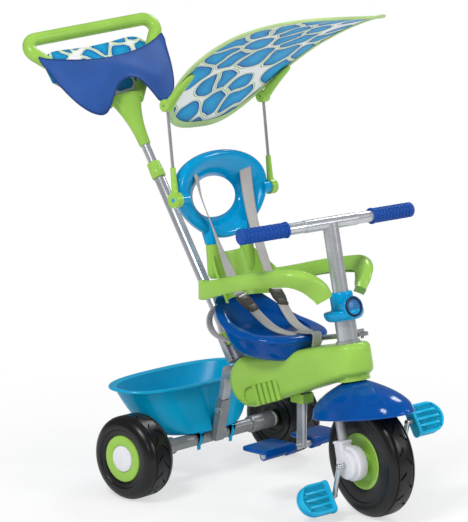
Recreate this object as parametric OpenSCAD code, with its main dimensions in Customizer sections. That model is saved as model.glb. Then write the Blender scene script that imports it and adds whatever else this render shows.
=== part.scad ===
// Toddler push along trike: +X forward, +Y to the rider's left, +Z up, millimetres.
// The rest pose has the front wheel and the push handle turned a little to the rider's right.

/* [Overall] */
// Distance from the rear axle to the front axle
wheelbase = 412; // [380:1:440]
// Width over the outsides of the rear tyres
track_w = 504; // [470:1:540]
// Angle that the front wheel is turned to the right at rest
steer_shown = 14; // [0:1:18]
// Backward lean of the steering axis
rake = 12; // [10:0.5:14]

/* [Rear wheels] */
// Rear tyre diameter
rear_d = 162; // [150:1:174]
// Rear tyre width
rear_tyre_w = 70; // [62:1:74]
// Rear rim diameter
rear_rim_d = 90; // [84:1:96]
// Rear hub cap diameter
rear_cap_d = 51; // [44:1:56]
// Axle rod diameter
axle_rod_d = 10; // [8:0.5:12]
// Axle tube diameter
axle_tube_d = 26; // [24:1:28]

/* [Front wheel] */
// Front tyre diameter
front_d = 216; // [206:1:222]
// Front tyre width
front_tyre_w = 56; // [50:1:58]
// Front rim diameter
front_rim_d = 107; // [100:1:114]
// Front axle's distance ahead of the steering axis
fork_offset = 15.5; // [12:0.5:19]
// Crank throw from the axle to a pedal
crank_throw = 62; // [56:1:66]
// Crank wire diameter
crank_wire_d = 10; // [8:0.5:11]
// Angle of the right crank arm behind straight down, along the steering axis
crank_angle = 28; // [10:1:40]
// Pedal length along its spindle
pedal_l = 70; // [60:1:76]
// Pedal width
pedal_w = 60; // [52:1:64]
// Pedal thickness
pedal_t = 20; // [18:1:24]
// Lean of the pedal's tread face from level
pedal_tilt = 68; // [40:1:80]

/* [Steering] */
// Column tube diameter
column_d = 40; // [37:1:42]
// Handlebar stem diameter
stem_d = 30; // [28:1:32]
// Handlebar height above the front axle, along the steering axis
bar_height = 446; // [430:1:465]
// Handlebar length from end to end
bar_span = 398; // [370:1:420]
// Handlebar tube diameter
bar_d = 22; // [20:1:24]
// Backward bend of each handlebar end
bar_sweep = 4; // [0:0.5:8]
// Grip length
grip_l = 102; // [90:1:112]
// Grip diameter
grip_d = 29; // [27:0.5:32]
// Fork leg diameter
fork_leg_d = 18; // [16:1:20]
// Mudguard length
guard_l = 264; // [250:1:280]
// Mudguard width
guard_w = 134; // [132:1:140]

/* [Body casing] */
// Casing width
body_w = 86; // [80:1:90]
// Radius of the casing's rear end
body_rear_r = 50; // [46:1:54]
// Casing rear centre's distance ahead of the rear axle
body_rear_x = 132; // [126:1:138]
// Casing rear centre's height
body_rear_z = 216; // [212:1:220]
// Casing head diameter round the steering axis
head_d = 80; // [76:1:84]
// Casing wall
body_wall = 3; // [2.5:0.5:4]

/* [Seat] */
// Seat pan length over its rim
seat_l = 214; // [206:1:222]
// Seat pan width over its rim
seat_w = 204; // [196:1:212]
// Height of the seat pan's front lip
seat_front_z = 326; // [322:1:332]
// Height of the seat pan's rear rim
seat_rear_z = 388; // [382:1:392]
// Seat wall
seat_wall = 4; // [3:0.5:5]
// Height of the seat back's top
back_top_z = 452; // [446:1:460]
// Headrest width
headrest_w = 250; // [236:1:256]
// Headrest height
headrest_h = 172; // [160:1:180]
// Headrest hole width
headrest_hole_w = 126; // [116:1:136]
// Headrest hole height
headrest_hole_h = 80; // [70:1:90]
// Backward lean of the headrest
headrest_lean = 8; // [6:0.5:10]

/* [Canopy] */
// Canopy length along the trike
canopy_l = 450; // [420:1:470]
// How far the canopy reaches out past its rods
canopy_over = 17; // [12:0.5:24]
// Radius of the canopy's curve
canopy_r = 556; // [520:2:600]
// Canopy front tip's distance ahead of the rear axle
canopy_tip_x = 407; // [395:1:415]
// Canopy front tip's height
canopy_tip_z = 926; // [915:1:940]
// Canopy rod diameter
rod_d = 6; // [5:0.5:7]

/* [Push handle] */
// Backward lean of the push handle
handle_lean = 32; // [30:0.5:34]
// Lower tube diameter
handle_tube_d = 27; // [25:1:29]
// Upper tube diameter
handle_slider_d = 21; // [19:0.5:22]
// Length of the lower tube
handle_tube_l = 400; // [380:2:420]
// Handle bar height above the tube's foot, along the tube
handle_bar_s = 733; // [715:1:750]
// Handle bar width between the middles of its bends
handle_bar_w = 300; // [280:1:312]
// Handle bar thickness
handle_bar_d = 27; // [24:1:30]

/* [Bucket and footrest] */
// Bucket rim length along the trike
bucket_l = 164; // [154:1:172]
// How far the bucket's rim lies inside the outsides of the rear tyres
bucket_side_in = 64; // [57:1:72]
// Bucket height from its floor to its rim
bucket_h = 100; // [92:1:108]
// Bucket wall
bucket_wall = 3; // [2.5:0.5:4]
// Footrest post's distance ahead of the rear axle
foot_x = 238; // [232:1:242]
// Height of the footrest bar
foot_z = 102; // [98:1:108]
// Foot plate width, outwards along the bar
foot_plate_w = 88; // [80:1:94]
// Foot plate length, back from the bar
foot_plate_l = 54; // [46:1:58]

/* [Hidden] */
$fn = 40;

// Fits and clearances shared by every piece
run_fit = 0.05;
gap = 0.4;
cut = 2;

// Colours of the mouldings, tubes and cloth
green = "#8cc63f";
turquoise = "#0a93cb";
navy = "#0b57a8";
white = "#ededf2";
black = "#2b2b2d";
silver = "#c4c6c9";
grey = "#6e6e70";
webbing = "#bdb9b6";

// Places of the main axes
rear_r = rear_d / 2;
front_r = front_d / 2;
handle_foot_ahead = 59;
handle_foot_z = 265;
handle_bar_r = handle_bar_d / 2;
head_bend = 7;
head_bend_s = 540;
head_bend_back = (handle_bar_s - head_bend_s) * sin(head_bend);
handle_reach = handle_bar_s * sin(handle_lean) + handle_bar_w / 2 * sin(steer_shown) * cos(handle_lean);
rear_reach = handle_reach + handle_bar_r + head_bend_back - handle_foot_ahead;
front_reach = wheelbase + front_r;
rear_x = (rear_reach - front_reach) / 2;
front_x = rear_x + wheelbase;
wheel_y = (track_w - rear_tyre_w) / 2;

// Helper shapes

function lerp(a, b, t) = a + (b - a) * t;
function arc(c, r, a0, a1, n) = [for (i = [0:n]) c + r * [cos(lerp(a0, a1, i / n)), sin(lerp(a0, a1,
    i / n))]];
function spow(v, p) = sign(v) * pow(abs(v), p);
// Point of a rounded oval at angle a, with power 2 a true ellipse and more a squarer one
function oval_at(sx, sy, power, a) = [sx * spow(cos(a), 2 / power), sy * spow(sin(a), 2 / power)];
function smooth_at(p, i, t) =
    let (n = len(p) - 1, a = p[max(i - 1, 0)], b = p[i], c = p[min(i + 1, n)], d = p[min(i + 2, n)])
    ((b * 2) + (c - a) * t + (a * 2 - b * 5 + c * 4 - d) * t * t + (b * 3 - a - c * 3 + d) * t * t * t) / 2;
// Smooth line through the points p, with steps rings between neighbours
function smooth_line(p, steps) = concat(
    [for (i = [0:len(p) - 2]) for (k = [0:steps - 1]) smooth_at(p, i, k / steps)], [p[len(p) - 1]]);
function unit(v) = v / norm(v);

// Closed skin through rings of equal count; open ends are capped, a ring of rings is joined up.
// The ends of a thin sheet are capped by strips from its one face to the other.
module loft(rings, joined = false, thin = false) {
    n = len(rings[0]);
    m = len(rings);
    last = joined ? m - 1 : m - 2;
    sides = [for (k = [0:last]) for (j = [0:n - 1])
        let (a = k * n + j, b = k * n + (j + 1) % n, d = ((k + 1) % m) * n + j, c = ((k + 1) % m) * n +
            (j + 1) % n)
        each [[a, d, c], [a, c, b]]];
    e = (m - 1) * n;
    strips = [for (j = [0:n / 2 - 2]) each [[j, j + 1, n - 2 - j], [j, n - 2 - j, n - 1 - j],
        [e + n - 2 - j, e + j + 1, e + j], [e + n - 1 - j, e + n - 2 - j, e + j]]];
    plates = [[for (j = [0:n - 1]) j], [for (j = [n - 1:-1:0]) e + j]];
    caps = joined ? [] : (thin ? strips : plates);
    polyhedron([for (r = rings) each r], concat(sides, caps), convexity = 8);
}

// Flat band along a line of [x, y, z, height] points, upright, with its edges cut at a slant
function band_ring(p, t, thick, bevel) =
    let (side = unit([-t[1], t[0], 0]), h = p[3] / 2, w = thick / 2)
    [for (q = [[w, bevel - h], [w, h - bevel], [w - bevel, h], [bevel - w, h],
        [-w, h - bevel], [-w, bevel - h], [bevel - w, -h], [w - bevel, -h]])
        [p[0], p[1], p[2]] + side * q[0] + [0, 0, q[1]]];
module band(points, thick, bevel, steps) {
    line = smooth_line(points, steps);
    n = len(line) - 1;
    loft([for (i = [0:n])
        let (t = line[min(i + 1, n)] - line[max(i - 1, 0)]) band_ring(line[i], t, thick, bevel)]);
}

// Flat ribbon of webbing along a line; each point is [x, y, z], and across gives its width direction
function ribbon_ring(p, t, across, width, thick) =
    let (u = unit(cross(t, across)), v = unit(cross(u, t)))
    [for (q = [[-1, -1], [1, -1], [1, 1], [-1, 1]]) p + v * q[0] * width / 2 + u * q[1] * thick / 2];
module ribbon(points, across, width, thick, steps) {
    line = smooth_line(points, steps);
    n = len(line) - 1;
    loft([for (i = [0:n])
        let (t = unit(line[min(i + 1, n)] - line[max(i - 1, 0)])) ribbon_ring(line[i], t, across, width,
            thick)]);
}

// Rod from point a to point b
module rod(a, b, r) {
    d = b - a;
    translate(a) rotate([0, acos(d[2] / norm(d)), atan2(d[1], d[0])]) cylinder(r = r, h = norm(d));
}
// Bar along Y from y0 to y1
module bar_y(r, y0, y1) {
    translate([0, y0, 0]) rotate([-90, 0, 0]) cylinder(r = r, h = y1 - y0);
}
// Turned shape about Y whose profile is [radius, distance outwards to the right]
module turned_y(profile) {
    rotate([90, 0, 0]) rotate_extrude($fn = 72) polygon(profile);
}
module both_sides() {
    children();
    mirror([0, 1, 0]) children();
}

// Frames that pieces are placed in
module at_rear(y) { translate([rear_x, y, rear_r]) children(); }
module head_frame() {
    translate([front_x, 0, front_r]) rotate([0, -rake, 0]) translate([-fork_offset, 0, 0]) children();
}
module steered() { head_frame() rotate([0, 0, -steer_shown]) children(); }
module handle_frame() {
    translate([rear_x + handle_foot_ahead, 0, handle_foot_z]) rotate([0, -handle_lean, 0]) children();
}
module handle_turned() { handle_frame() rotate([0, 0, -steer_shown]) children(); }

// Rear axle, post and lock pin

sleeve_d = 34;
sleeve_over = 25.6;
sleeve_grip = 38;
bush_proud = 6;
sleeve_end = track_w / 2 - rear_tyre_w - bush_proud - gap;
tube_half = sleeve_end - sleeve_over;
sleeve_start = tube_half - sleeve_grip;
post_lean = 12;
post_ahead = 17;
post_w = 24;
post_depth = 14;
post_wall = 2;
post_drop = 6;
post_top = 81;
post_socket_l = 44;
pin_up = 60;
pin_d = 5;
pin_head_d = 9;
pin_head_t = 2.5;

module post_frame() { at_rear(0) translate([post_ahead, 0, 0]) rotate([0, post_lean, 0]) children(); }
module flat_tube(depth, width, z0, z1) { translate([-depth / 2, -width / 2, z0]) cube([depth, width,
    z1 - z0]); }

module rear_frame() color(grey) difference() {
    union() {
        at_rear(0) bar_y(axle_tube_d / 2, -tube_half, tube_half);
        post_frame() flat_tube(post_depth, post_w, -post_drop, post_top);
    }
    at_rear(0) bar_y(axle_rod_d / 2 + run_fit, -tube_half - cut, tube_half + cut);
    post_frame() flat_tube(post_depth - 2 * post_wall, post_w - 2 * post_wall, post_top - post_socket_l,
        post_top + cut);
    post_frame() translate([0, 0, pin_up]) bar_y(pin_d / 2 + run_fit, -post_w, post_w);
}

rear_cap_seat = 24;
rod_half = wheel_y + rear_cap_seat - gap;
module axle_rod() color(silver) at_rear(0) bar_y(axle_rod_d / 2, -rod_half, rod_half);

module axle_sleeve() {
    r = axle_tube_d / 2 + run_fit;
    lip = 2;
    turned_y([[r, sleeve_start], [sleeve_d / 2 - lip, sleeve_start], [sleeve_d / 2, sleeve_start + lip],
        [sleeve_d / 2, sleeve_end - lip], [sleeve_d / 2 - lip, sleeve_end],
        [axle_rod_d / 2 + run_fit, sleeve_end], [axle_rod_d / 2 + run_fit, tube_half], [r, tube_half]]);
}
module axle_sleeves() color(grey) at_rear(0) both_sides() axle_sleeve();

// A spring pin with a round head on the right and a wire ring through it
pin_ring_r = 6;
pin_wire_d = 1.8;
module lock_pin() color(silver) post_frame() translate([0, 0, pin_up]) {
    bar_y(pin_d / 2, -post_w / 2 - pin_head_t, post_w / 2 + pin_head_t);
    bar_y(pin_head_d / 2, -post_w / 2 - 2 * pin_head_t, -post_w / 2 - run_fit);
    translate([pin_ring_r, -post_w / 2 - 1.5 * pin_head_t, 0]) rotate([90, 0, 0])
        rotate_extrude() translate([pin_ring_r, 0]) circle(d = pin_wire_d, $fn = 16);
}

// Main frame: leg, beam, head tube and the cradle of the push handle

leg_top = 163;
beam_d = 30;
beam_up = 136;
beam_bore_share = 0.12;
beam_w = 188;
head_tube_d = 46;
head_tube_low = 152;
head_tube_high = 224;
stem_core_d = 27;
cradle_d = 38;
cradle_low = -24;
cradle_base = -13.5;
cradle_plate = 5;
cradle_high = 36;
cradle_half = 11;
beam_foot = [rear_x + post_ahead + beam_up * sin(post_lean), 0, rear_r + beam_up * cos(post_lean)];
beam_head = head_point(0, beam_w);
// Point of the steering axis frame: ahead of the axis by x and up along it by w
function head_point(x, w) = [front_x + (x - fork_offset) * cos(rake) - w * sin(rake), 0,
    front_r + (x - fork_offset) * sin(rake) + w * cos(rake)];

module main_frame() color(silver) difference() {
    union() {
        post_frame() flat_tube(post_depth, post_w, post_top + gap, leg_top);
        post_frame() flat_tube(post_depth - 2 * post_wall - gap, post_w - 2 * post_wall - gap,
            post_top - post_socket_l + gap, post_top + cut);
        rod(beam_foot, beam_head, beam_d / 2);
        head_frame() translate([0, 0, head_tube_low]) cylinder(d = head_tube_d,
            h = head_tube_high - head_tube_low);
        handle_frame() translate([0, 0, cradle_low]) cylinder(d = cradle_d, h = cradle_base - cradle_low);
        handle_frame() translate([-cradle_half, -cradle_d / 2 - cradle_plate, cradle_low])
            cube([2 * cradle_half, cradle_plate, cradle_high - cradle_low]);
        handle_frame() translate([-cradle_half, -cradle_d / 2 - cradle_plate, cradle_low])
            cube([2 * cradle_half, cradle_plate + cradle_d / 4, cradle_base - cradle_low]);
    }
    head_frame() translate([0, 0, head_tube_low - cut])
        cylinder(d = stem_core_d + 2 * run_fit, h = head_tube_high - head_tube_low + 2 * cut);
    rod(lerp(beam_foot, beam_head, beam_bore_share), beam_head, beam_d / 2 - post_wall);
    post_frame() translate([0, 0, pin_up]) bar_y(pin_d / 2 + run_fit, -post_w, post_w);
}

// Rear wheels; profiles are [radius, distance outwards from the tyre's middle]

tyre_shoulder = 19;
shoulder_start = 8;
tyre_groove_w = 4;
tyre_groove_deep = 3;
tyre_groove_at = 9;
tyre_bead = 2;
tyre_wall = 7;
bead_shares = [0.72, 0.62, 0.3];
rear_drum = 5;
rear_drum_in = 30;
rear_web_in = 12;
rear_hub_d = 34;
rear_face_in = 2;
cap_crown = 4;
cap_face_share = 0.94;
cap_steps = 4;

function tyre_half(r, half, rim_r, sh) = concat(
    [[r, tyre_groove_at - tyre_groove_w / 2], [r - tyre_groove_deep, tyre_groove_at - tyre_groove_w / 4],
     [r - tyre_groove_deep, tyre_groove_at + tyre_groove_w / 4], [r, tyre_groove_at + tyre_groove_w / 2]],
    arc([r - sh, half - sh], sh, shoulder_start, 90, 7),
    [[lerp(rim_r, r - sh, bead_shares[0]), half], [lerp(rim_r, r - sh, bead_shares[1]), half - tyre_bead],
     [lerp(rim_r, r - sh, bead_shares[2]), half - tyre_bead], [rim_r + tyre_bead, half - 2 * tyre_bead],
         [rim_r, half - 2 * tyre_bead],
     [rim_r, half - 2 * tyre_wall], [rim_r + tyre_bead, half - 2 * tyre_wall], [rim_r + 2 * tyre_bead,
         half - tyre_wall],
     [r - sh, half - tyre_wall], [r - tyre_wall - tyre_groove_deep, half - sh],
         [r - tyre_wall - tyre_groove_deep, tyre_bead]]);
function flipped(p) = [for (i = [len(p) - 1:-1:0]) [p[i][0], -p[i][1]]];
tread_count = 22;
tread_lean = 32;
tread_w = 5;
tread_deep = 2.5;

// Tyre with two grooves round its tread and slanted notches on its shoulders
module tyre(r, width, rim_r) {
    half = tyre_half(r, width / 2, rim_r, tyre_shoulder);
    difference() {
        turned_y(concat(flipped(half), half));
        for (k = [0:tread_count - 1]) for (s = [-1, 1])
            rotate([0, (k + s / 4) * 360 / tread_count, 0]) translate([0, s * (tyre_groove_at +
                width / 2) / 2, r])
                rotate([0, 0, s * tread_lean])
                    cube([tread_w, width / 2 - tyre_groove_at - tyre_shoulder / 2, 2 * tread_deep],
                        center = true);
    }
}
rear_rim_r = rear_rim_d / 2;
rear_half = rear_tyre_w / 2;
module rear_tyre() color(black) at_rear(-wheel_y) tyre(rear_r, rear_tyre_w, rear_rim_r + run_fit);
module rear_rim() color(green) at_rear(-wheel_y) turned_y([
    [axle_rod_d / 2 + run_fit, -rear_half], [rear_hub_d / 2, -rear_half], [rear_hub_d / 2, rear_web_in],
    [rear_rim_r - rear_drum, rear_web_in], [rear_rim_r - rear_drum, -rear_drum_in], [rear_rim_r,
        -rear_drum_in],
    [rear_rim_r, rear_half - rear_face_in], [rear_cap_d / 2 + gap, rear_half - rear_face_in],
    [rear_cap_d / 2 + gap, rear_cap_seat], [axle_rod_d / 2 + run_fit, rear_cap_seat]]);
module rear_cap() color(white) at_rear(-wheel_y) turned_y(concat([[0, rear_cap_seat]], [[rear_cap_d / 2,
    rear_cap_seat],
    [rear_cap_d / 2, rear_half - cap_crown / 2]], [for (k = [cap_steps:-1:0]) let (t = k / cap_steps)
        [rear_cap_d / 2 * sin(90 * t) * cap_face_share, rear_half - cap_crown / 2 +
            cap_crown / 2 * cos(90 * t)]]));
bush_d = 30;
module rear_bush() color(white) at_rear(-wheel_y) turned_y([
    [axle_rod_d / 2 + run_fit, -rear_half - bush_proud], [bush_d / 2, -rear_half - bush_proud],
    [bush_d / 2, -rear_half], [axle_rod_d / 2 + run_fit, -rear_half]]);
module rear_tyre_right() rear_tyre();
module rear_rim_right() rear_rim();
module rear_cap_right() rear_cap();
module rear_bush_right() rear_bush();
module rear_tyre_left() mirror([0, 1, 0]) rear_tyre();
module rear_rim_left() mirror([0, 1, 0]) rear_rim();
module rear_cap_left() mirror([0, 1, 0]) rear_cap();
module rear_bush_left() mirror([0, 1, 0]) rear_bush();

// Bucket: a rounded tub over the axle, with a channel for the post and two hooks under its floor

bucket_rim_back = 72;
bucket_floor_back = 44;
bucket_floor_l = 124;
bucket_side_lean = 81;
bucket_w = track_w - 2 * bucket_side_in;
bucket_floor_w = bucket_w - 2 * bucket_side_lean;
bucket_fillet = 2;
bucket_floor_t = 3;
bucket_lip = 6;
bucket_lip_t = 5;
bucket_power = 2.6;
bucket_floor_power = 2.2;
bucket_flare = 1.25;
bucket_floor_z = rear_r + axle_tube_d / 2 + gap;
channel_room = 4;
bucket_channel_w = post_w + 2 * channel_room;
hook_share = 0.43;
hook_y = bucket_floor_w / 2 * hook_share;
hook_w = 10;
hook_t = 4;
bucket_points = 44;
bucket_steps = 5;

function bucket_ring(t, inset, z) = [for (i = [0:bucket_points - 1])
    let (a = 360 * i / bucket_points, e = pow(t, bucket_flare),
        p = oval_at(lerp(bucket_floor_l, bucket_l, e) / 2 - inset, lerp(bucket_floor_w, bucket_w,
            e) / 2 - inset,
            lerp(bucket_floor_power, bucket_power, t), a))
    [rear_x - lerp(bucket_floor_back, bucket_rim_back, e) + p[0], p[1], z]];
module bucket_tub() {
    top = bucket_floor_z + bucket_h;
    wall_z = bucket_h - bucket_lip_t;
    loft(concat(
        [for (k = [0:bucket_steps]) bucket_ring(k / bucket_steps, bucket_lip * k / bucket_steps,
            bucket_floor_z + wall_z * k / bucket_steps)],
        [bucket_ring(1, 0, top - bucket_lip_t), bucket_ring(1, 0, top - bucket_lip_t / 3),
         bucket_ring(1, bucket_lip_t / 3, top), bucket_ring(1, bucket_lip, top)],
        [for (k = [bucket_steps:-1:0]) bucket_ring(k / bucket_steps, bucket_lip * k / bucket_steps +
            bucket_wall,
            lerp(bucket_floor_z + bucket_floor_t + bucket_fillet, top - bucket_lip_t, k / bucket_steps))],
        [bucket_ring(0, bucket_wall + bucket_fillet, bucket_floor_z + bucket_floor_t)]));
}
module bucket_hook() {
    ring_r = axle_tube_d / 2 + gap;
    rotate([90, 0, 0]) difference() {
        union() {
            cylinder(r = ring_r + hook_t, h = hook_w, center = true);
            translate([ring_r, 0, -hook_w / 2]) cube([hook_t, ring_r + gap, hook_w]);
        }
        cylinder(r = ring_r, h = hook_w + cut, center = true);
        translate([-2 * ring_r - hook_t, -ring_r - hook_t - cut, -hook_w]) cube([3 * ring_r,
            2 * ring_r + 2 * hook_t, 2 * hook_w]);
        translate([-ring_r, ring_r - run_fit + hook_t, -hook_w]) cube([3 * ring_r, 3 * ring_r, 2 * hook_w]);
    }
}
channel_deep = 9;
module bucket() color(turquoise) {
    difference() {
        bucket_tub();
        post_frame() translate([-post_depth / 2 - channel_deep, -bucket_channel_w / 2, -2 * post_top])
            cube([4 * bucket_l, bucket_channel_w, 6 * post_top]);
    }
    channel_wall();
    for (s = [-1, 1]) at_rear(s * hook_y) bucket_hook();
}
// The channel's back wall closes the tub behind the post
module channel_wall() {
    intersection() {
        post_frame() translate([-post_depth / 2 - channel_deep - bucket_wall,
            -bucket_channel_w / 2 - bucket_wall, -2 * post_top])
            difference() {
                cube([4 * bucket_l, bucket_channel_w + 2 * bucket_wall, 6 * post_top]);
                translate([bucket_wall, bucket_wall, -cut]) cube([4 * bucket_l, bucket_channel_w,
                    6 * post_top + 2 * cut]);
            }
        bucket_solid();
    }
}
module bucket_solid() {
    wall_z = bucket_h - bucket_lip_t;
    loft([for (k = [0:bucket_steps]) bucket_ring(k / bucket_steps, bucket_lip * k / bucket_steps +
        bucket_wall / 2,
        bucket_floor_z + bucket_floor_t / 2 + wall_z * k / bucket_steps)]);
}

// Body casing: two halves round the beam, with a grip pocket in each side

body_edge = 15;
body_side_wall = 9;
head_low = 158;
head_high = 219;
head_edge = 12;
skirt_d = 62;
skirt_low = 138;
body_half = body_w / 2;

module casing_form(shrink_r, shrink_side) {
    hull() {
        translate([rear_x + body_rear_x, 0, body_rear_z]) rotate([90, 0, 0]) rotate_extrude($fn = 36)
            polygon(concat([[0, shrink_side - body_half]],
                arc([body_rear_r - shrink_r - body_edge, shrink_side + body_edge - body_half],
                    body_edge, -90, 0, 4),
                arc([body_rear_r - shrink_r - body_edge, body_half - body_edge - shrink_side],
                    body_edge, 0, 90, 4),
                [[0, body_half - shrink_side]]));
        head_frame() rotate_extrude($fn = 36)
            polygon(concat([[0, head_low + shrink_r]],
                arc([head_d / 2 - shrink_r - head_edge, head_low + shrink_r + head_edge], head_edge,
                    -90, 0, 4),
                arc([head_d / 2 - shrink_r - head_edge, head_high - shrink_r - head_edge], head_edge, 0,
                    90, 4),
                [[0, head_high - shrink_r]]));
    }
}
// Middle of the side pocket, its slope and its ribs
pocket_ahead = 40;
pocket_up = -13;
pocket_l = 96;
pocket_h = 34;
pocket_lean = 20;
pocket_deep = 5;
rib_count = 5;
rib_pitch = 14;
rib_d = 9;
rib_h = 40;
rib_ahead = 14;
rib_proud = 2;
rib_drop = -3;
module pocket_frame() {
    translate([rear_x + body_rear_x + pocket_ahead, -body_half, body_rear_z + pocket_up])
        rotate([0, -pocket_lean, 0]) rotate([90, 0, 0]) children();
}
module side_pocket() pocket_frame() translate([0, 0, -pocket_deep]) linear_extrude(2 * pocket_deep) {
    square([pocket_l - pocket_h, pocket_h], center = true);
    for (s = [-1, 1]) translate([s * (pocket_l - pocket_h) / 2, 0]) circle(d = pocket_h);
}
module side_ribs() pocket_frame() for (k = [0:rib_count - 1])
    translate([rib_ahead + (k - (rib_count - 1) / 2) * rib_pitch, rib_drop, -pocket_deep - rib_proud])
        linear_extrude(pocket_deep + 2 * rib_proud) {
            square([rib_d, rib_h - rib_d], center = true);
            for (s = [-1, 1]) translate([0, s * (rib_h - rib_d) / 2]) circle(d = rib_d);
        }
foot_hole_l = 26;
slot_l = 58;
slot_w = 26;
slot_ahead = 172;
module casing_half() {
    big = 2 * wheelbase;
    difference() {
        union() {
            difference() {
                casing_form(0, 0);
                casing_form(body_wall, body_side_wall);
                side_pocket();
            }
            side_ribs();
            head_frame() translate([0, 0, skirt_low]) cylinder(d = skirt_d, h = head_low +
                body_edge - skirt_low);
        }
        translate([rear_x - big / 2, 0, -big / 2]) cube([2 * big, big, 2 * big]);
        head_frame() translate([0, 0, skirt_low - cut]) cylinder(d = head_tube_d + 2 * gap,
            h = 2 * head_high);
        rod(beam_foot, beam_head, beam_d / 2 + gap);
        translate([rear_x + slot_ahead - slot_l / 2, -slot_w / 2, body_rear_z]) cube([slot_l, slot_w,
            2 * body_rear_r]);
        translate([rear_x + foot_x - foot_hole_l / 2, -foot_hole_l / 2, foot_z]) cube([foot_hole_l,
            foot_hole_l, body_rear_z - foot_z]);
    }
}
module body_cover_right() color(green) casing_half();
screw_d = 9;
screw_slot_share = 0.6;
screw_deep = 4;
screw_places = [[-24, -22], [-24, 20], [118, 26], [196, 62]];
module screw_frames() for (p = screw_places)
    translate([rear_x + body_rear_x + p[0], body_half - screw_deep, body_rear_z + p[1]]) rotate([-90, 0,
        0]) children();
module body_cover_left() color(green) difference() {
    mirror([0, 1, 0]) casing_half();
    screw_frames() cylinder(d = screw_d + 2 * run_fit, h = 2 * screw_deep);
}
module casing_screws() color(silver) screw_frames() difference() {
    cylinder(d = screw_d, h = screw_deep - gap);
    for (a = [0, 90]) translate([0, 0, screw_deep]) rotate([0, 0, a]) cube([screw_d * screw_slot_share,
        screw_d / 6, screw_deep], center = true);
}

// Footrest: socket, frame and two folding plates

foot_post_l = 22;
foot_post_w = 12;
foot_bar_d = 12;
foot_bar_half = 112;
socket_l = 32;
socket_w = 30;
socket_low_z = 188;
socket_high_z = 206;
foot_barrel_d = 22;
foot_in = 26;
foot_plate_t = 9;
foot_lip_h = 20;
foot_lip_t = 10;
foot_post_top = 232;
module foot_post_section(grow) {
    r = foot_post_w / 2 + grow;
    square([foot_post_l - foot_post_w, 2 * r], center = true);
    for (s = [-1, 1]) translate([s * (foot_post_l - foot_post_w) / 2, 0]) circle(r = r);
}
module footrest_frame() color(silver) translate([rear_x + foot_x, 0, foot_z]) {
    linear_extrude(foot_post_top - foot_z) foot_post_section(0);
    bar_y(foot_bar_d / 2, -foot_bar_half, foot_bar_half);
}
// The socket grips the post under the casing
module footrest_socket() color(green) translate([rear_x + foot_x, 0, 0]) difference() {
    translate([-socket_l / 2, -socket_w / 2, socket_low_z]) cube([socket_l, socket_w,
        socket_high_z - socket_low_z]);
    translate([0, 0, foot_z]) linear_extrude(2 * foot_z) foot_post_section(run_fit);
    translate([-rear_x - foot_x, 0, 0]) casing_form(-gap, -gap);
}
module foot_plate() color(navy) translate([rear_x + foot_x, 0, foot_z]) difference() {
    union() {
        bar_y(foot_barrel_d / 2, -foot_in - foot_barrel_d, -foot_in);
        translate([-foot_plate_l, -foot_in - foot_plate_w, foot_barrel_d / 2 - foot_plate_t])
            cube([foot_plate_l, foot_plate_w, foot_plate_t]);
        bar_y(foot_plate_t, -foot_in - foot_plate_w, -foot_in);
        translate([-foot_plate_l, -foot_in - foot_plate_w, foot_barrel_d / 2 - foot_lip_h])
            cube([foot_plate_l / 2, foot_lip_t, foot_lip_h]);
    }
    bar_y(foot_bar_d / 2 + run_fit, -foot_in - 2 * foot_plate_w, 0);
    for (k = [1:foot_groove_count]) translate([-foot_plate_l * k / (foot_groove_count + 1),
        -foot_in - foot_plate_w * foot_groove_shares[0], foot_barrel_d / 2 - foot_groove])
        cube([foot_groove, foot_plate_w * foot_groove_shares[1], 2 * foot_groove]);
}
foot_groove = 2.5;
foot_groove_count = 4;
foot_groove_shares = [0.86, 0.72];
module foot_plate_right() foot_plate();
module foot_plate_left() mirror([0, 1, 0]) foot_plate();

// Fork, column, handlebar, collar and mudguard, all turned with the front wheel

crown_low = 111;
crown_high = 119;
crown_l = 40;
crown_over = 5;
leg_y = 46;
fork_leg_low = 24;
column_low = head_tube_high + gap;
column_high = 300;
lever_y = 34;
lever_t = 6;
lever_w = 10;
lever_pin_d = 6;
lever_pin_h = 12;
link_eye_t = 7;
module fork() color(silver) steered() {
    translate([0, 0, crown_low]) difference() {
        cylinder(d = stem_core_d, h = column_high - crown_low);
        translate([0, 0, crown_high - crown_low]) cylinder(d = stem_core_d - 2 * stem_wall, h = column_high);
    }
    translate([-crown_l / 2, -leg_y - crown_over, crown_low]) cube([crown_l, 2 * leg_y + 2 * crown_over,
        crown_high - crown_low]);
    for (s = [-1, 1]) translate([0, s * leg_y, fork_leg_low]) cylinder(d = fork_leg_d,
        h = crown_low - fork_leg_low + cut);
}
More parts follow.
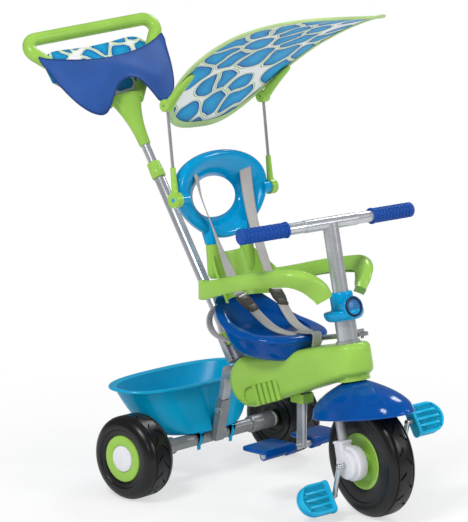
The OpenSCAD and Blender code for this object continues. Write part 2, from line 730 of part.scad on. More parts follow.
// The lever on the left of the column is what the push handle's link moves
module column_tube() color(silver) steered() {
    difference() {
        union() {
            translate([0, 0, column_low]) cylinder(d = column_d, h = column_high - column_low);
            translate([-lever_w / 2, 0, lever_w_at]) cube([lever_w, lever_y, lever_t]);
            translate([0, lever_y, lever_w_at]) cylinder(d = lever_w, h = lever_t);
        }
        translate([0, 0, column_low - cut]) cylinder(d = stem_core_d + 2 * run_fit, h = column_high);
    }
    translate([0, lever_y, lever_w_at - lever_pin_h]) cylinder(d = lever_pin_d, h = lever_pin_h + cut);
}
lever_up = 10;
lever_w_at = column_low + lever_up;
stem_wall = 3;
bar_mid = 60;
bar_end_l = bar_span / 2 - bar_mid;
module bar_end() {
    translate([0, -bar_mid, bar_height]) rotate([0, 0, -bar_sweep]) rotate([90, 0, 0]) children();
}
module handlebar() color(silver) steered() {
    translate([0, 0, column_high + gap]) difference() {
        cylinder(d = stem_d, h = bar_height - column_high - gap);
        translate([0, 0, -cut]) cylinder(d = stem_d - 2 * stem_wall, h = bar_height - column_high - bar_d);
    }
    translate([0, 0, bar_height]) bar_y(bar_d / 2 + stem_wall / 3, -bar_mid, bar_mid);
    both_sides() {
        bar_end() translate([0, 0, -bar_d / 8]) cylinder(d = bar_d, h = bar_end_l - grip_cap + bar_d / 8);
    }
}
grip_cap = 4;
grip_rings = 7;
grip_ring_w = 4;
grip_ring_deep = 1;
module grip() {
    r = grip_d / 2;
    start = bar_end_l - grip_l;
    pitch = (grip_l - 3 * grip_ring_w) / grip_rings;
    bar_end() rotate_extrude() polygon(concat(
        [[bar_d / 2 + run_fit, start], [r + grip_ring_deep, start], [r + grip_ring_deep, start +
            grip_ring_w], [r, start + grip_ring_w]],
        [for (k = [1:grip_rings]) each [[r, start + k * pitch], [r - grip_ring_deep, start + k * pitch],
            [r - grip_ring_deep, start + k * pitch + grip_ring_w], [r, start + k * pitch + grip_ring_w]]],
        arc([r - grip_cap, bar_end_l - grip_cap], grip_cap, 0, 90, 4),
        [[0, bar_end_l], [0, bar_end_l - grip_cap + run_fit], [bar_d / 2 + run_fit,
            bar_end_l - grip_cap + run_fit]]));
}
module grip_right() color(navy) steered() grip();
module grip_left() color(navy) steered() mirror([0, 1, 0]) grip();

// Collar round the joint of column and stem; the safety bar closes above its saucer
collar_low = 262;
collar_high = 316;
collar_saucer_r = 38;
collar_saucer_h = 20;
saucer_from = -80;
saucer_to = 70;
collar_neck_r = 27;
badge_d = 34;
badge_t = 5;
badge_up = 24;
badge_lean = 6;
module collar() color(turquoise) steered() difference() {
    rotate_extrude($fn = 64) polygon(concat(
        [[column_d / 2 + run_fit, collar_low]],
        arc([collar_saucer_r - collar_saucer_h / 2, collar_low + collar_saucer_h / 2],
            collar_saucer_h / 2, saucer_from, saucer_to, 6),
        [[collar_neck_r, collar_low + collar_saucer_h + badge_t]],
        arc([collar_neck_r - collar_saucer_h / 4, collar_high - collar_saucer_h / 4],
            collar_saucer_h / 4, 0, 90, 4),
        [[stem_d / 2 + run_fit, collar_high], [stem_d / 2 + run_fit, column_high + gap / 2],
         [column_d / 2 + run_fit, column_high + gap / 2]]));
    badge_place() translate([0, 0, -collar_saucer_r]) cylinder(d = badge_d + 2 * run_fit,
        h = 2 * collar_saucer_r);
}
module badge_place() {
    translate([collar_neck_r + badge_t, 0, collar_low + badge_up]) rotate([0, 90 - badge_lean, 0]) children();
}
// A plain round boss with a raised rim
badge_rim = 3;
badge_rim_h = 1.5;
module badge() color(navy) steered() difference() {
    badge_place() union() {
        translate([0, 0, -collar_neck_r / 2]) cylinder(d = badge_d, h = badge_t + collar_neck_r / 2);
        translate([0, 0, badge_t]) difference() {
            cylinder(d = badge_d, h = badge_rim_h);
            translate([0, 0, -cut]) cylinder(d = badge_d - 2 * badge_rim, h = badge_rim_h + 2 * cut);
        }
    }
    translate([0, 0, column_low]) cylinder(d = column_d + 4 * run_fit, h = column_high);
}

guard_rim_w = 84;
guard_neck_w = 152;
guard_neck_d = 36;
guard_wall = 3;
guard_points = 40;
guard_steps = 7;
guard_ahead = 10;
guard_dome = 0.85;
guard_power = 2.15;
function guard_ring(t, inset) = [for (i = [0:guard_points - 1])
    let (a = 360 * i / guard_points, c = pow(cos(90 * t), guard_dome), w = lerp(guard_rim_w,
        guard_neck_w - skirt_gap, sin(90 * t)),
        p = oval_at(lerp(guard_neck_d, guard_l, c) / 2 - inset, lerp(guard_neck_d, guard_w,
            c) / 2 - inset, guard_power, a))
    [p[0] + guard_ahead * c, p[1], w - inset * t]];
skirt_gap = guard_neck_w - skirt_low + gap;
module mudguard() color(navy) steered() difference() {
    loft(concat([for (k = [0:guard_steps]) guard_ring(k / guard_steps, 0)],
        [for (k = [guard_steps:-1:0]) guard_ring(k / guard_steps, guard_wall)]), joined = true);
    translate([0, 0, guard_rim_w]) cylinder(d = stem_core_d + 2 * run_fit, h = guard_neck_w);
    for (s = [-1, 1]) translate([0, s * leg_y, 0]) cylinder(d = fork_leg_d + 2 * gap, h = crown_low);
}

// Fork caps: stepped white discs with a socket for each fork leg
cap_clear = 2;
cap_in = front_tyre_w / 2 + cap_clear;
cap_step = 50;
cap_out = 62;
cap_flange_d = 66;
cap_disc_d = 56;
cap_socket_l = 24;
cap_socket_h = 44;
module fork_cap() color(white) steered() difference() {
    union() {
        translate([fork_offset, 0, 0]) turned_y([[0, cap_in], [cap_flange_d / 2 - cap_in / 6, cap_in],
            [cap_flange_d / 2, cap_in + cap_in / 6],
            [cap_flange_d / 2, cap_step], [cap_disc_d / 2, cap_step + cap_in / 12], [cap_disc_d / 2,
                cap_out - cap_in / 8],
            [cap_disc_d / 2 - cap_in / 8, cap_out], [0, cap_out]]);
        translate([-cap_socket_l / 2, -cap_out + cap_in / 12, 0]) cube([cap_socket_l, cap_socket_l,
            cap_socket_h]);
    }
    translate([fork_offset, 0, 0]) bar_y(crank_wire_d / 2 + run_fit, -2 * cap_out, 0);
    translate([0, -leg_y, fork_leg_low - run_fit]) cylinder(d = fork_leg_d + 2 * run_fit,
        h = 2 * cap_socket_h);
}
module fork_cap_right() fork_cap();
module fork_cap_left() steered_mirror() fork_cap();
// Mirror about the turned wheel's middle plane
module steered_mirror() {
    steered() mirror([0, 1, 0]) unsteered() children();
}
module unsteered() {
    rotate([0, 0, steer_shown]) translate([fork_offset, 0, 0]) rotate([0, rake, 0]) translate([-front_x,
        0, -front_r]) children();
}

// Front wheel and crank
front_rim_r = front_rim_d / 2;
front_half = front_tyre_w / 2;
front_dish = 12;
front_flange = 5;
front_hub_d = 34;
module wheel_centre() steered() translate([fork_offset, 0, 0]) children();
module front_tyre() color(black) wheel_centre() tyre(front_r, front_tyre_w, front_rim_r + run_fit);
front_rim_half = [[front_hub_d / 2, front_half], [front_hub_d / 2, front_half - front_dish],
    [front_rim_r - 3 * front_flange, front_half - front_dish], [front_rim_r - front_flange,
        front_half - 2 * tyre_bead],
    [front_rim_r, front_half - 2 * tyre_bead]];
module front_rim() color(green) wheel_centre() turned_y(concat(
    [[crank_wire_d / 2 + run_fit, -front_half]], [for (p = front_rim_half) [p[0], -p[1]]],
    [for (i = [len(front_rim_half) - 1:-1:0]) front_rim_half[i]], [[crank_wire_d / 2 + run_fit,
        front_half]]));
crank_y = 74;
crank_bend_share = 1.16;
spindle_y = crank_y + crank_wire_d;
spindle_share = 0.8;
spindle_l = pedal_l * spindle_share;
crank_r = crank_wire_d / 2;
crank_end = [-crank_throw * sin(crank_angle), 0, -crank_throw * cos(crank_angle)];
module crank() color(silver) wheel_centre() {
    bar_y(crank_r, -crank_y, crank_y);
    for (s = [-1, 1]) {
        tip = [-s * crank_end[0], s * crank_y, -s * crank_end[2]];
        translate([0, s * crank_y, 0]) sphere(r = crank_r * crank_bend_share);
        rod([0, s * crank_y, 0], tip, crank_r);
        translate(tip) sphere(r = crank_r * crank_bend_share);
        translate(tip) bar_y(crank_r, min(0, s * (spindle_l + crank_wire_d)), max(0, s * (spindle_l +
            crank_wire_d)));
    }
}
// Pedal: flat inner end, round outer end, ribs across both faces
pedal_rib_count = 5;
pedal_rib_w = 4;
pedal_rib_deep = 2.5;
pedal_flare = 4;
pedal_rib_shares = [0.2, 0.55];
module pedal_form() difference() {
    union() {
        translate([0, 0, -pedal_t / 2]) linear_extrude(pedal_t) {
            translate([-pedal_w / 2, 0]) square([pedal_w, pedal_l - pedal_w / 2]);
            translate([0, pedal_l - pedal_w / 2]) circle(d = pedal_w);
        }
        translate([-pedal_w / 2 - pedal_flare / 2, 0, -pedal_t / 2 - pedal_flare / 2])
            cube([pedal_w + pedal_flare, pedal_flare, pedal_t + pedal_flare]);
    }
    translate([-pedal_w / 2 + pedal_flare, -cut, -pedal_t / 2 + pedal_flare])
        cube([pedal_w - 2 * pedal_flare, pedal_flare + cut, pedal_t - 2 * pedal_flare]);
    for (s = [-1, 1]) for (k = [0:pedal_rib_count - 1])
        translate([(k - (pedal_rib_count - 1) / 2) * pedal_w / (pedal_rib_count + 1) - pedal_rib_w / 2,
            pedal_l * pedal_rib_shares[0], s * pedal_t / 2 - pedal_rib_deep])
            cube([pedal_rib_w, pedal_l * pedal_rib_shares[1], 2 * pedal_rib_deep]);
    rotate([-90, 0, 0]) translate([0, 0, -cut]) cylinder(r = crank_r + run_fit, h = spindle_l + cut + gap);
}
module pedal_place(s) wheel_centre() translate([-s * crank_end[0], s * spindle_y, -s * crank_end[2]])
    children();
module pedal_right() color(turquoise) pedal_place(-1) mirror([0, 1, 0]) rotate([0, pedal_tilt, 0])
    pedal_form();
module pedal_left() color(turquoise) pedal_place(1) rotate([0, pedal_tilt, 0]) pedal_form();

// Steering link, guided under the seat
link_d = 10;
link_eye_d = 24;
link_hole_d = 17;
link_y = lever_y * cos(steer_shown);
link_head = head_point(lever_y * sin(steer_shown), lever_w_at - link_eye_t / 2 - gap);
link_tail = [rear_x + handle_foot_ahead + lever_y * sin(steer_shown) * cos(handle_lean), 0,
    handle_foot_z + lever_y * sin(steer_shown) * sin(handle_lean)];
link_lean = atan2(link_head[2] - link_tail[2], link_head[0] - link_tail[0]);
module link_eye(at) translate([at[0], link_y, at[2]]) rotate([0, -link_lean, 0]) children();
module steer_link() color(silver) difference() {
    union() {
        rod([link_tail[0], link_y, link_tail[2]], [link_head[0], link_y, link_head[2]], link_d / 2);
        for (p = [link_tail, link_head]) link_eye(p) cylinder(d = link_eye_d, h = link_eye_t, center = true);
    }
    for (p = [link_tail, link_head]) link_eye(p) cylinder(d = link_hole_d, h = 2 * link_d, center = true);
}

// Seat bracket: a block on the beam with a guide for the link
bracket_l = 50;
bracket_w = 20;
guide_d = 18;
guide_l = 22;
seat_under_z = 310;
seat_under_lean = 6;
module seat_under() {
    translate([rear_x + slot_ahead, 0, seat_under_z]) rotate([0, -seat_under_lean, 0]) children();
}
link_mid = [rear_x + slot_ahead, link_y, lerp(link_tail[2], link_head[2], (rear_x +
    slot_ahead - link_tail[0]) / (link_head[0] - link_tail[0]))];
module seat_bracket() color(silver) difference() {
    union() {
        seat_under() translate([-bracket_l / 2, -bracket_w / 2, -body_rear_r - gap]) cube([bracket_l,
            bracket_w, body_rear_r]);
        translate(link_mid) rotate([0, -link_lean, 0]) rotate([0, 90, 0]) translate([0, 0,
            -guide_l / 2]) cylinder(d = guide_d, h = guide_l);
        translate(link_mid) rotate([0, -link_lean, 0]) translate([-guide_l / 2, -link_y, -guide_d / 4])
            cube([guide_l, link_y, guide_d / 2]);
    }
    rod(beam_foot, beam_head, beam_d / 2 + run_fit);
    rod([link_tail[0], link_y, link_tail[2]], [link_head[0], link_y, link_head[2]], link_d / 2 + run_fit);
}

// Seat pan: a bowl with a skirt that straddles the casing
seat_x = 165;
seat_skirt_x = 184;
seat_skirt_l = 156;
seat_skirt_w = 146;
seat_skirt_z = 274;
seat_floor_z = 320;
seat_floor_l = 120;
seat_floor_w = 116;
seat_points = 44;
seat_steps = 5;
saddle_room = 4;
saddle_w = body_w + 2 * saddle_room;
seat_rise = 2.4;
seat_powers = [2.2, 2.3];
seat_flares = [0.62, 0.5];
function seat_rim_z(a) = lerp(seat_front_z, seat_rear_z, pow((1 - cos(a)) / 2, seat_rise));
function seat_ring(t, inset, base_l, base_w, base_x, base_z, e) = [for (i = [0:seat_points - 1])
    let (a = 360 * i / seat_points, k = pow(t, e),
        p = oval_at(lerp(base_l, seat_l, k) / 2 - inset, lerp(base_w, seat_w, k) / 2 - inset,
            lerp(seat_powers[0], seat_powers[1], t), a))
    [rear_x + lerp(base_x, seat_x, k) + p[0], p[1], lerp(base_z, seat_rim_z(a), t)]];
module seat_pan() color(navy) difference() {
    loft(concat(
        [for (k = [0:seat_steps]) seat_ring(k / seat_steps, 0, seat_skirt_l, seat_skirt_w, seat_skirt_x,
            seat_skirt_z, seat_flares[0])],
        [for (k = [seat_steps:-1:0]) seat_ring(k / seat_steps, seat_wall, seat_floor_l, seat_floor_w,
            seat_skirt_x, seat_floor_z, seat_flares[1])]));
    seat_under() translate([-seat_l, -saddle_w / 2, -2 * body_rear_r]) cube([3 * seat_l, saddle_w,
        2 * body_rear_r]);
}

// Seat back: a curved panel with two sockets and a hinge ear for each safety bar arm
back_low_z = 374;
back_low_r = 88;
back_high_r = 114;
back_t = 5;
back_half = 54;
back_rest_half = 16;
back_socket_d = 27;
back_socket_l = 42;
leg_pitch = 96;
leg_d = 20;
leg_in = 34;
back_socket_ahead = 49;
back_socket_z = 478;
hinge_ahead = 70;
hinge_y = 97;
hinge_d = 18;
hinge_low_z = 393;
hinge_high_z = 403;
hinge_pin_d = 7;
arm_foot_h = 38;
arm_foot_z = 398;
module headrest_frame() {
    translate([rear_x + back_socket_ahead, 0, back_socket_z]) rotate([0, -headrest_lean, 0]) children();
}
module seat_back() color(green) difference() {
    union() {
        translate([rear_x + seat_x, 0, 0]) rotate([0, 0, 180 - back_half])
            rotate_extrude(angle = 2 * back_half, $fn = 96)
            polygon([[back_low_r, back_low_z], [back_low_r + back_t, back_low_z], [back_high_r + back_t,
                back_top_z - back_t],
                [back_high_r + back_t, back_top_z], [back_high_r, back_top_z]]);
        translate([rear_x + seat_x, 0, seat_rear_z + gap]) rotate([0, 0, 180 - back_rest_half])
            rotate_extrude(angle = 2 * back_rest_half, $fn = 96) translate([back_low_r + 3 * back_t / 2, 0])
                square([seat_l / 2 - back_low_r - 3 * back_t / 2, back_t]);
        headrest_frame() for (s = [-1, 1]) translate([0, s * leg_pitch / 2, -back_socket_l])
            cylinder(d = back_socket_d, h = back_socket_l);
        for (s = [-1, 1]) {
            translate([rear_x + hinge_ahead, s * hinge_y, hinge_low_z]) cylinder(d = hinge_d,
                h = hinge_high_z - hinge_low_z);
            translate([rear_x + hinge_ahead, s * hinge_y, hinge_low_z + gap]) rotate([0, 0, -s * ear_turn])
                translate([0, gap - hinge_d / 2, 0])
                    cube([ear_l, hinge_d - 2 * gap, hinge_high_z - hinge_low_z - 2 * gap]);
            translate([rear_x + hinge_ahead, s * hinge_y, arm_foot_z - arm_foot_h / 2])
                cylinder(d = hinge_pin_d, h = arm_foot_h);
        }
    }
    headrest_frame() for (s = [-1, 1]) translate([0, s * leg_pitch / 2, -leg_in - gap])
        cylinder(d = leg_d + 2 * run_fit, h = 2 * leg_in);
}
ear_turn = 46;
ear_l = 37;

// Safety bar arms: upright bands from the hinge round to the collar.
// Shares are ahead, out, up from the hinge to the crest, and height
arm_t = 15;
arm_bevel = 4;
arm_steps = 4;
arm_reach = 337;
arm_out = 114;
arm_h = 36;
arm_under_bar = 81;
arm_crest_z = front_r + bar_height * cos(rake) - fork_offset * sin(rake) - bar_d / 2 - arm_under_bar;
arm_shares = [[0.273, 0.912, 0.078, 1.000], [0.386, 0.965, 0.294, 0.917], [0.549, 1.000, 0.608, 0.861],
    [0.727, 1.000, 0.863, 0.861], [0.878, 0.921, 1.000, 0.944], [0.955, 0.737, 0.824, 1.000],
    [0.991, 0.561, 0.510, 0.917], [1.000, 0.447, 0.235, 0.778]];
arm_points = [for (q = arm_shares)
    [arm_reach * q[0], arm_out * q[1], lerp(arm_foot_z, arm_crest_z, q[2]), arm_h * q[3]]];
module safety_bar() color(green) difference() {
    union() {
        translate([rear_x, 0, 0]) band([for (p = arm_points) [p[0], -p[1], p[2], p[3]]], arm_t,
            arm_bevel, arm_steps);
        translate([rear_x + hinge_ahead, -hinge_y, arm_foot_z - arm_foot_h / 2]) cylinder(d = hinge_d,
            h = arm_foot_h);
        translate([rear_x + hinge_ahead, -hinge_y, gap + arm_foot_z - arm_foot_h / 2]) rotate([0, 0,
            -arm_root_turn])
            translate([0, -arm_t / 2, 0])
                cube([arm_points[0][0] - hinge_ahead + arm_bevel, arm_t, arm_foot_h - 2 * gap]);
    }
    translate([rear_x + hinge_ahead, -hinge_y, 0]) cylinder(d = hinge_pin_d + 2 * run_fit,
        h = 2 * arm_foot_z);
    translate([rear_x + hinge_ahead, -hinge_y, hinge_low_z - gap])
        cylinder(r = hinge_d, h = hinge_high_z - hinge_low_z + 2 * gap);
}
arm_root_turn = 16;
module safety_bar_right() safety_bar();
module safety_bar_left() mirror([0, 1, 0]) safety_bar();

// Headrest: a dished ring on two legs, with a pivot pin on each side for the canopy
headrest_mid = 94;
headrest_hole_up = 90;
pivot_up = 95;
pivot_sunk = 9;
pivot_proud = 3;
pivot_pin_l = 15;
pivot_in = headrest_w / 2 - pivot_sunk;
pivot_out = headrest_w / 2 + pivot_proud;
pivot_boss_d = 24;
pivot_pin_d = 8;
pivot_pin_out = pivot_out + pivot_pin_l;
headrest_points = 44;
headrest_egg = 0.2;
// Section from the hole's edge (0) to the outer edge (1), with its distance ahead of the middle
headrest_section_shares = [[0, -1.2], [0.15, -1.35], [0.5, -1.2], [0.85, -0.9], [0.98, -0.5], [1, -0.2],
    [0.96, 0.02], [0.88, 0.02], [0.74, -0.32], [0.5, -0.62], [0.2, -0.85], [0.04, -0.95]];
headrest_t = 26;
function headrest_outer(a) = [headrest_w / 2 * cos(a) * (1 + headrest_egg * sin(a)), headrest_mid +
    headrest_h / 2 * sin(a)];
function headrest_inner(a) = [headrest_hole_w / 2 * cos(a), headrest_hole_up + headrest_hole_h / 2 * sin(a)];
module headrest() color(turquoise) headrest_frame() {
    loft([for (q = headrest_section_shares) [for (i = [0:headrest_points - 1])
        let (a = 360 * i / headrest_points, p = lerp(headrest_inner(a), headrest_outer(a), q[0]))
        [q[1] * headrest_t, p[0], p[1]]]], joined = true);
    for (s = [-1, 1]) translate([0, s * leg_pitch / 2, -leg_in]) cylinder(d = leg_d, h = leg_in +
        headrest_mid - headrest_h / 2 + 3 * leg_d / 2);
    translate([0, 0, pivot_up]) both_sides() {
        bar_y(pivot_boss_d / 2, -pivot_out, -pivot_in);
        bar_y(pivot_pin_d / 2, -pivot_pin_out, -pivot_in);
    }
}

// Harness webbing and buckles; points are ahead, out and up
strap_w = 25;
strap_t = 2;
strap_steps = 4;
shoulder_points = [[23, 70, 626], [38, 66, 568], [60, 58, 512], [86, 54, 450], [112, 50, 388]];
lap_points = [[134.8, 49.6, 345.2], [142, 47.5, 334.5], [154, 44, 326], [172, 38, 322.8],
    [200, 29, 322.2], [226, 20.6, 322.1], [238, 17, 322.2]];
crotch_points = [[226, 0, 324.1], [246, 0, 324.6], [258, 0, 326], [266, 0, 327.5], [271.5, 0, 327.6],
    [275.2, 0, 324], [275, 0, 314], [273, 0, 302]];
module side_strap() color(webbing) translate([rear_x, 0, 0])
    ribbon([for (p = shoulder_points) [p[0], -p[1], p[2]]], [0, 1, 0], strap_w, strap_t, strap_steps);
module harness_right() side_strap();
module harness_left() mirror([0, 1, 0]) side_strap();
module lap_strap() color(webbing) translate([rear_x, 0, 0]) {
    both_sides() ribbon([for (p = lap_points) [p[0], -p[1], p[2]]], [0, 1, 0], strap_w, strap_t, strap_steps);
    ribbon(crotch_points, [0, 1, 0], strap_w, strap_t, strap_steps);
}
buckle_l = 44;
buckle_w = 30;
buckle_t = 9;
buckle_lean = 62;
module buckles() color(black) both_sides() translate([rear_x, 0, 0])
    translate([shoulder_points[4][0], -shoulder_points[4][1], shoulder_points[4][2]]) rotate([0,
        buckle_lean, 0])
        translate([5 * gap, -buckle_w / 2, -buckle_t / 2]) difference() {
            cube([buckle_l, buckle_w, buckle_t]);
            translate([buckle_l / 4, buckle_t / 2, -cut]) cube([buckle_l / 8, buckle_w - buckle_t,
                buckle_t + 2 * cut]);
        }

// Canopy: sockets and rods that tilt on the headrest, clamps and cloth that tilt on the rods
socket_disc_d = 30;
rod_lean = 6.8;
rod_l = 180;
rod_y = (pivot_out + pivot_pin_out) / 2 + gap;
canopy_w = 2 * (rod_y + canopy_over);
socket_top = 62;
socket_low_d = 14;
socket_high_d = 10;
rod_bottom = 30;
eye_d = 10;
eye_pin_d = 5;
clamp_w = 20;
clamp_disc_d = 24;
clamp_slot = eye_d + gap * 2;
module pivot_frame() headrest_frame() translate([0, 0, pivot_up]) rotate([0, headrest_lean - rod_lean,
    0]) children();
module canopy_sockets() color(green) pivot_frame() both_sides() difference() {
    union() {
        bar_y(socket_disc_d / 2, -pivot_pin_out, -pivot_out - gap);
        translate([0, -rod_y, 0]) cylinder(d1 = socket_low_d, d2 = socket_high_d, h = socket_top);
    }
    bar_y(pivot_pin_d / 2 + run_fit, -pivot_pin_out - cut, 0);
    translate([0, -rod_y, rod_bottom]) cylinder(d = rod_d + 2 * run_fit, h = socket_top);
}
module canopy_rods() color(silver) pivot_frame() both_sides() {
    translate([0, -rod_y, rod_bottom + gap]) cylinder(d = rod_d, h = rod_l - rod_bottom - gap);
    translate([0, -rod_y, rod_l]) bar_y(eye_d / 2, -eye_d / 2, eye_d / 2);
    translate([0, -rod_y, rod_l]) bar_y(eye_pin_d / 2, -clamp_w / 2, clamp_w / 2);
}
// Centre of the canopy's curve, seen from the side
canopy_mid = [rear_x + canopy_tip_x, canopy_tip_z - canopy_r];
canopy_t = 2.5;
hoop_w = 9;
hoop_t = 5;
canopy_points = 52;
canopy_front_power = 1.8;
canopy_rear_power = 3;
function canopy_outline(inset) = [for (i = [0:canopy_points - 1])
    let (a = 360 * i / canopy_points, p = cos(a) > 0 ? canopy_front_power : canopy_rear_power,
        q = oval_at(canopy_l / 2 - inset, canopy_w / 2 - inset, p, a))
    [rear_x + canopy_tip_x - canopy_l / 2 + q[0], q[1]]];
module canopy_shell(outer, inner) {
    translate([canopy_mid[0], 0, canopy_mid[1]]) rotate([90, 0, 0]) difference() {
        cylinder(r = outer, h = 2 * canopy_w, center = true, $fn = 360);
        cylinder(r = inner, h = 3 * canopy_w, center = true, $fn = 360);
    }
}
module canopy_prism(inset) translate([0, 0, canopy_mid[1]]) linear_extrude(2 * canopy_r)
    polygon(canopy_outline(inset));
module canopy_cloth() color(turquoise) intersection() {
    canopy_shell(canopy_r, canopy_r - canopy_t);
    canopy_prism(hoop_w);
}
module canopy_hoop() color(green) difference() {
    intersection() {
        canopy_shell(canopy_r + (hoop_t - canopy_t) / 2, canopy_r - (hoop_t + canopy_t) / 2);
        canopy_prism(0);
    }
    canopy_prism(hoop_w - run_fit);
}
clamp_reach = 78;
clamp_lean = 42;
clamp_tip = 10;
clamp_arm = clamp_disc_d - 4 * gap;
module canopy_clamps() color(green) both_sides() difference() {
    pivot_frame() translate([0, -rod_y, rod_l]) difference() {
        union() {
            bar_y(clamp_disc_d / 2, -clamp_w / 2, clamp_w / 2);
            rotate([0, rod_lean + clamp_lean, 0]) translate([-clamp_arm / 2, gap - clamp_w / 2, 0])
                rotate([-90, 0, 0]) linear_extrude(clamp_w - 2 * gap)
                    polygon([[0, 0], [clamp_arm, 0], [clamp_arm, -clamp_reach],
                        [clamp_arm - clamp_tip, -clamp_reach], [0, -clamp_reach / 2]]);
        }
        bar_y(eye_pin_d / 2 + run_fit, -clamp_w, clamp_w);
        bar_y(clamp_disc_d / 2 + gap, -clamp_slot / 2, clamp_slot / 2);
        translate([-clamp_disc_d, -clamp_slot / 2, -clamp_disc_d]) cube([2 * clamp_disc_d, clamp_slot,
            clamp_disc_d]);
    }
    canopy_shell(2 * canopy_r, canopy_r - (hoop_t + canopy_t) / 2 - run_fit);
}

// Push handle: socket, lower tube with its lever, collar, upper tube and head
ring_low = 9;
handle_collar_d = 34;
collar_l = 34;
collar_over_share = 0.6;
collar_taper_share = 0.92;
slider_low = 250;
neck_s = 453;
slider_high = 492;
neck_d = 30;
trumpet_s = 566;
trumpet_w = 84;
trumpet_t = 30;
trumpet_points = 32;
trumpet_steps = 6;
trumpet_flare = 2.2;
bend_r = 22;
side_d = 24;
side_foot_y = 28;
module handle_socket() color(green) handle_frame() difference() {
    translate([0, 0, ring_low]) cylinder(d = cradle_d - 2 * run_fit, h = cradle_high - ring_low);
    cylinder(d = handle_tube_d + 2 * run_fit, h = 2 * cradle_high);
}
foot_lever_low = -13;
foot_pin_top = 13;
module handle_tube() color(silver) handle_turned() {
    difference() {
        union() {
            translate([0, 0, foot_lever_low]) cylinder(d = handle_tube_d, h = handle_tube_l - foot_lever_low);
            translate([-lever_w / 2, 0, foot_lever_low]) cube([lever_w, lever_y, lever_t / 2]);
            translate([0, lever_y, foot_lever_low]) cylinder(d = lever_w, h = lever_t / 2);
        }
        translate([0, 0, foot_pin_top]) cylinder(d = handle_slider_d + 2 * run_fit, h = handle_tube_l);
    }
    translate([0, lever_y, foot_lever_low]) cylinder(d = lever_pin_d, h = foot_pin_top - foot_lever_low);
}
module handle_collar() color(green) handle_turned() difference() {
    translate([0, 0, handle_tube_l - collar_l * collar_over_share]) cylinder(d1 = handle_collar_d,
        d2 = handle_collar_d * collar_taper_share, h = collar_l);
    cylinder(d = handle_tube_d + 2 * run_fit, h = handle_tube_l + run_fit);
    cylinder(d = handle_slider_d + 2 * run_fit, h = 2 * handle_tube_l);
}
module handle_slider() color(silver) handle_turned() translate([0, 0, slider_low]) difference() {
    cylinder(d = handle_slider_d, h = slider_high - slider_low);
    translate([0, 0, -cut]) cylinder(d = handle_slider_d - 2 * post_wall, h = slider_high);
}

function trumpet_ring(t) = [for (i = [0:trumpet_points - 1])
    let (a = 360 * i / trumpet_points, k = pow(t, trumpet_flare))
    [lerp(neck_d, trumpet_t, t) / 2 * cos(a), lerp(neck_d, trumpet_w, k) / 2 * sin(a), lerp(neck_s,
        trumpet_s, t)]];
// The loop's plane leans back a little further than the tube
module loop_frame() translate([0, 0, head_bend_s]) rotate([0, -head_bend, 0]) children();
loop_top = (handle_bar_s - head_bend_s) / cos(head_bend);
bar_half = handle_bar_w / 2 - bend_r;
side_turn = atan2(handle_bar_w / 2 - side_foot_y, loop_top - (trumpet_s - head_bend_s) - 2 * bend_r);
side_foot_z = trumpet_s - head_bend_s - side_d / 2;
bend_steps = 6;
loop_sides = 20;
// Middle line of the loop as [across, up, radius], from one foot round to the other
loop_bend = [for (q = arc([bar_half, loop_top - bend_r], bend_r, -side_turn, 90, bend_steps)) [q[0],
    q[1], handle_bar_r]];
loop_line = concat([[side_foot_y, side_foot_z, side_d / 2]], loop_bend,
    [for (i = [bend_steps:-1:0]) [-loop_bend[i][0], loop_bend[i][1], handle_bar_r]], [[-side_foot_y,
        side_foot_z, side_d / 2]]);
function loop_ring(i) =
    let (n = len(loop_line) - 1, a = loop_line[max(i - 1, 0)], b = loop_line[min(i + 1, n)], p = loop_line[i],
        t = unit([0, b[0] - a[0], b[1] - a[1]]), e = cross(t, [1, 0, 0]))
    [for (k = [0:loop_sides - 1])
        [0, p[0], p[1]] + p[2] * (cos(360 * k / loop_sides) * [1, 0, 0] + sin(360 * k / loop_sides) * e)];
module handle_head() color(green) handle_turned() difference() {
    union() {
        loft([for (k = [0:trumpet_steps]) trumpet_ring(k / trumpet_steps)]);
        loop_frame() loft([for (i = [0:len(loop_line) - 1]) loop_ring(i)]);
    }
    translate([0, 0, neck_s - cut]) cylinder(d = handle_slider_d + 2 * run_fit,
        h = slider_high - neck_s + cut + gap);
}

// Cloth bag: a crowned front panel with two lobes, and a flatter lining behind the loop
bag_t = 3;
bag_clear = handle_bar_r + gap;
bag_crown = 34;
bag_cols = 24;
bag_rows = 6;
bag_half = 148;
bag_top_drop = 38;
bag_top_sag = 50;
bag_lobe_drop = 196;
bag_side_drop = 96;
bag_notch = 52;
bag_back_top = 34;
bag_back_low = 176;
bag_back_half = 128;
bag_round = 2.6;
bag_flat_share = 0.88;
bag_notch_share = 0.34;
bag_notch_power = 1.4;
bag_across_power = 0.8;
bag_up_power = 0.7;
bag_crown_shares = [0.12, 0.86];
function bag_top(u) = loop_top - bag_top_drop - bag_top_sag * (1 - u * u);
function bag_low(u) = loop_top - lerp(bag_lobe_drop, bag_side_drop, pow(abs(u), bag_round)) +
    bag_notch * pow(max(0, 1 - abs(u) / bag_notch_share), bag_notch_power);
function bag_x(u, v) = bag_clear + bag_crown * pow(cos(90 * min(1, abs(u) / bag_flat_share)),
    bag_across_power) *
    pow(sin(180 * lerp(bag_crown_shares[0], bag_crown_shares[1], v)), bag_up_power);
function bag_sheet(off) = [for (k = [0:bag_rows]) [for (j = [0:bag_cols])
    let (u = 2 * j / bag_cols - 1, v = k / bag_rows)
    [bag_x(u, v) + off, u * bag_half, lerp(bag_low(u), bag_top(u), v)]]];
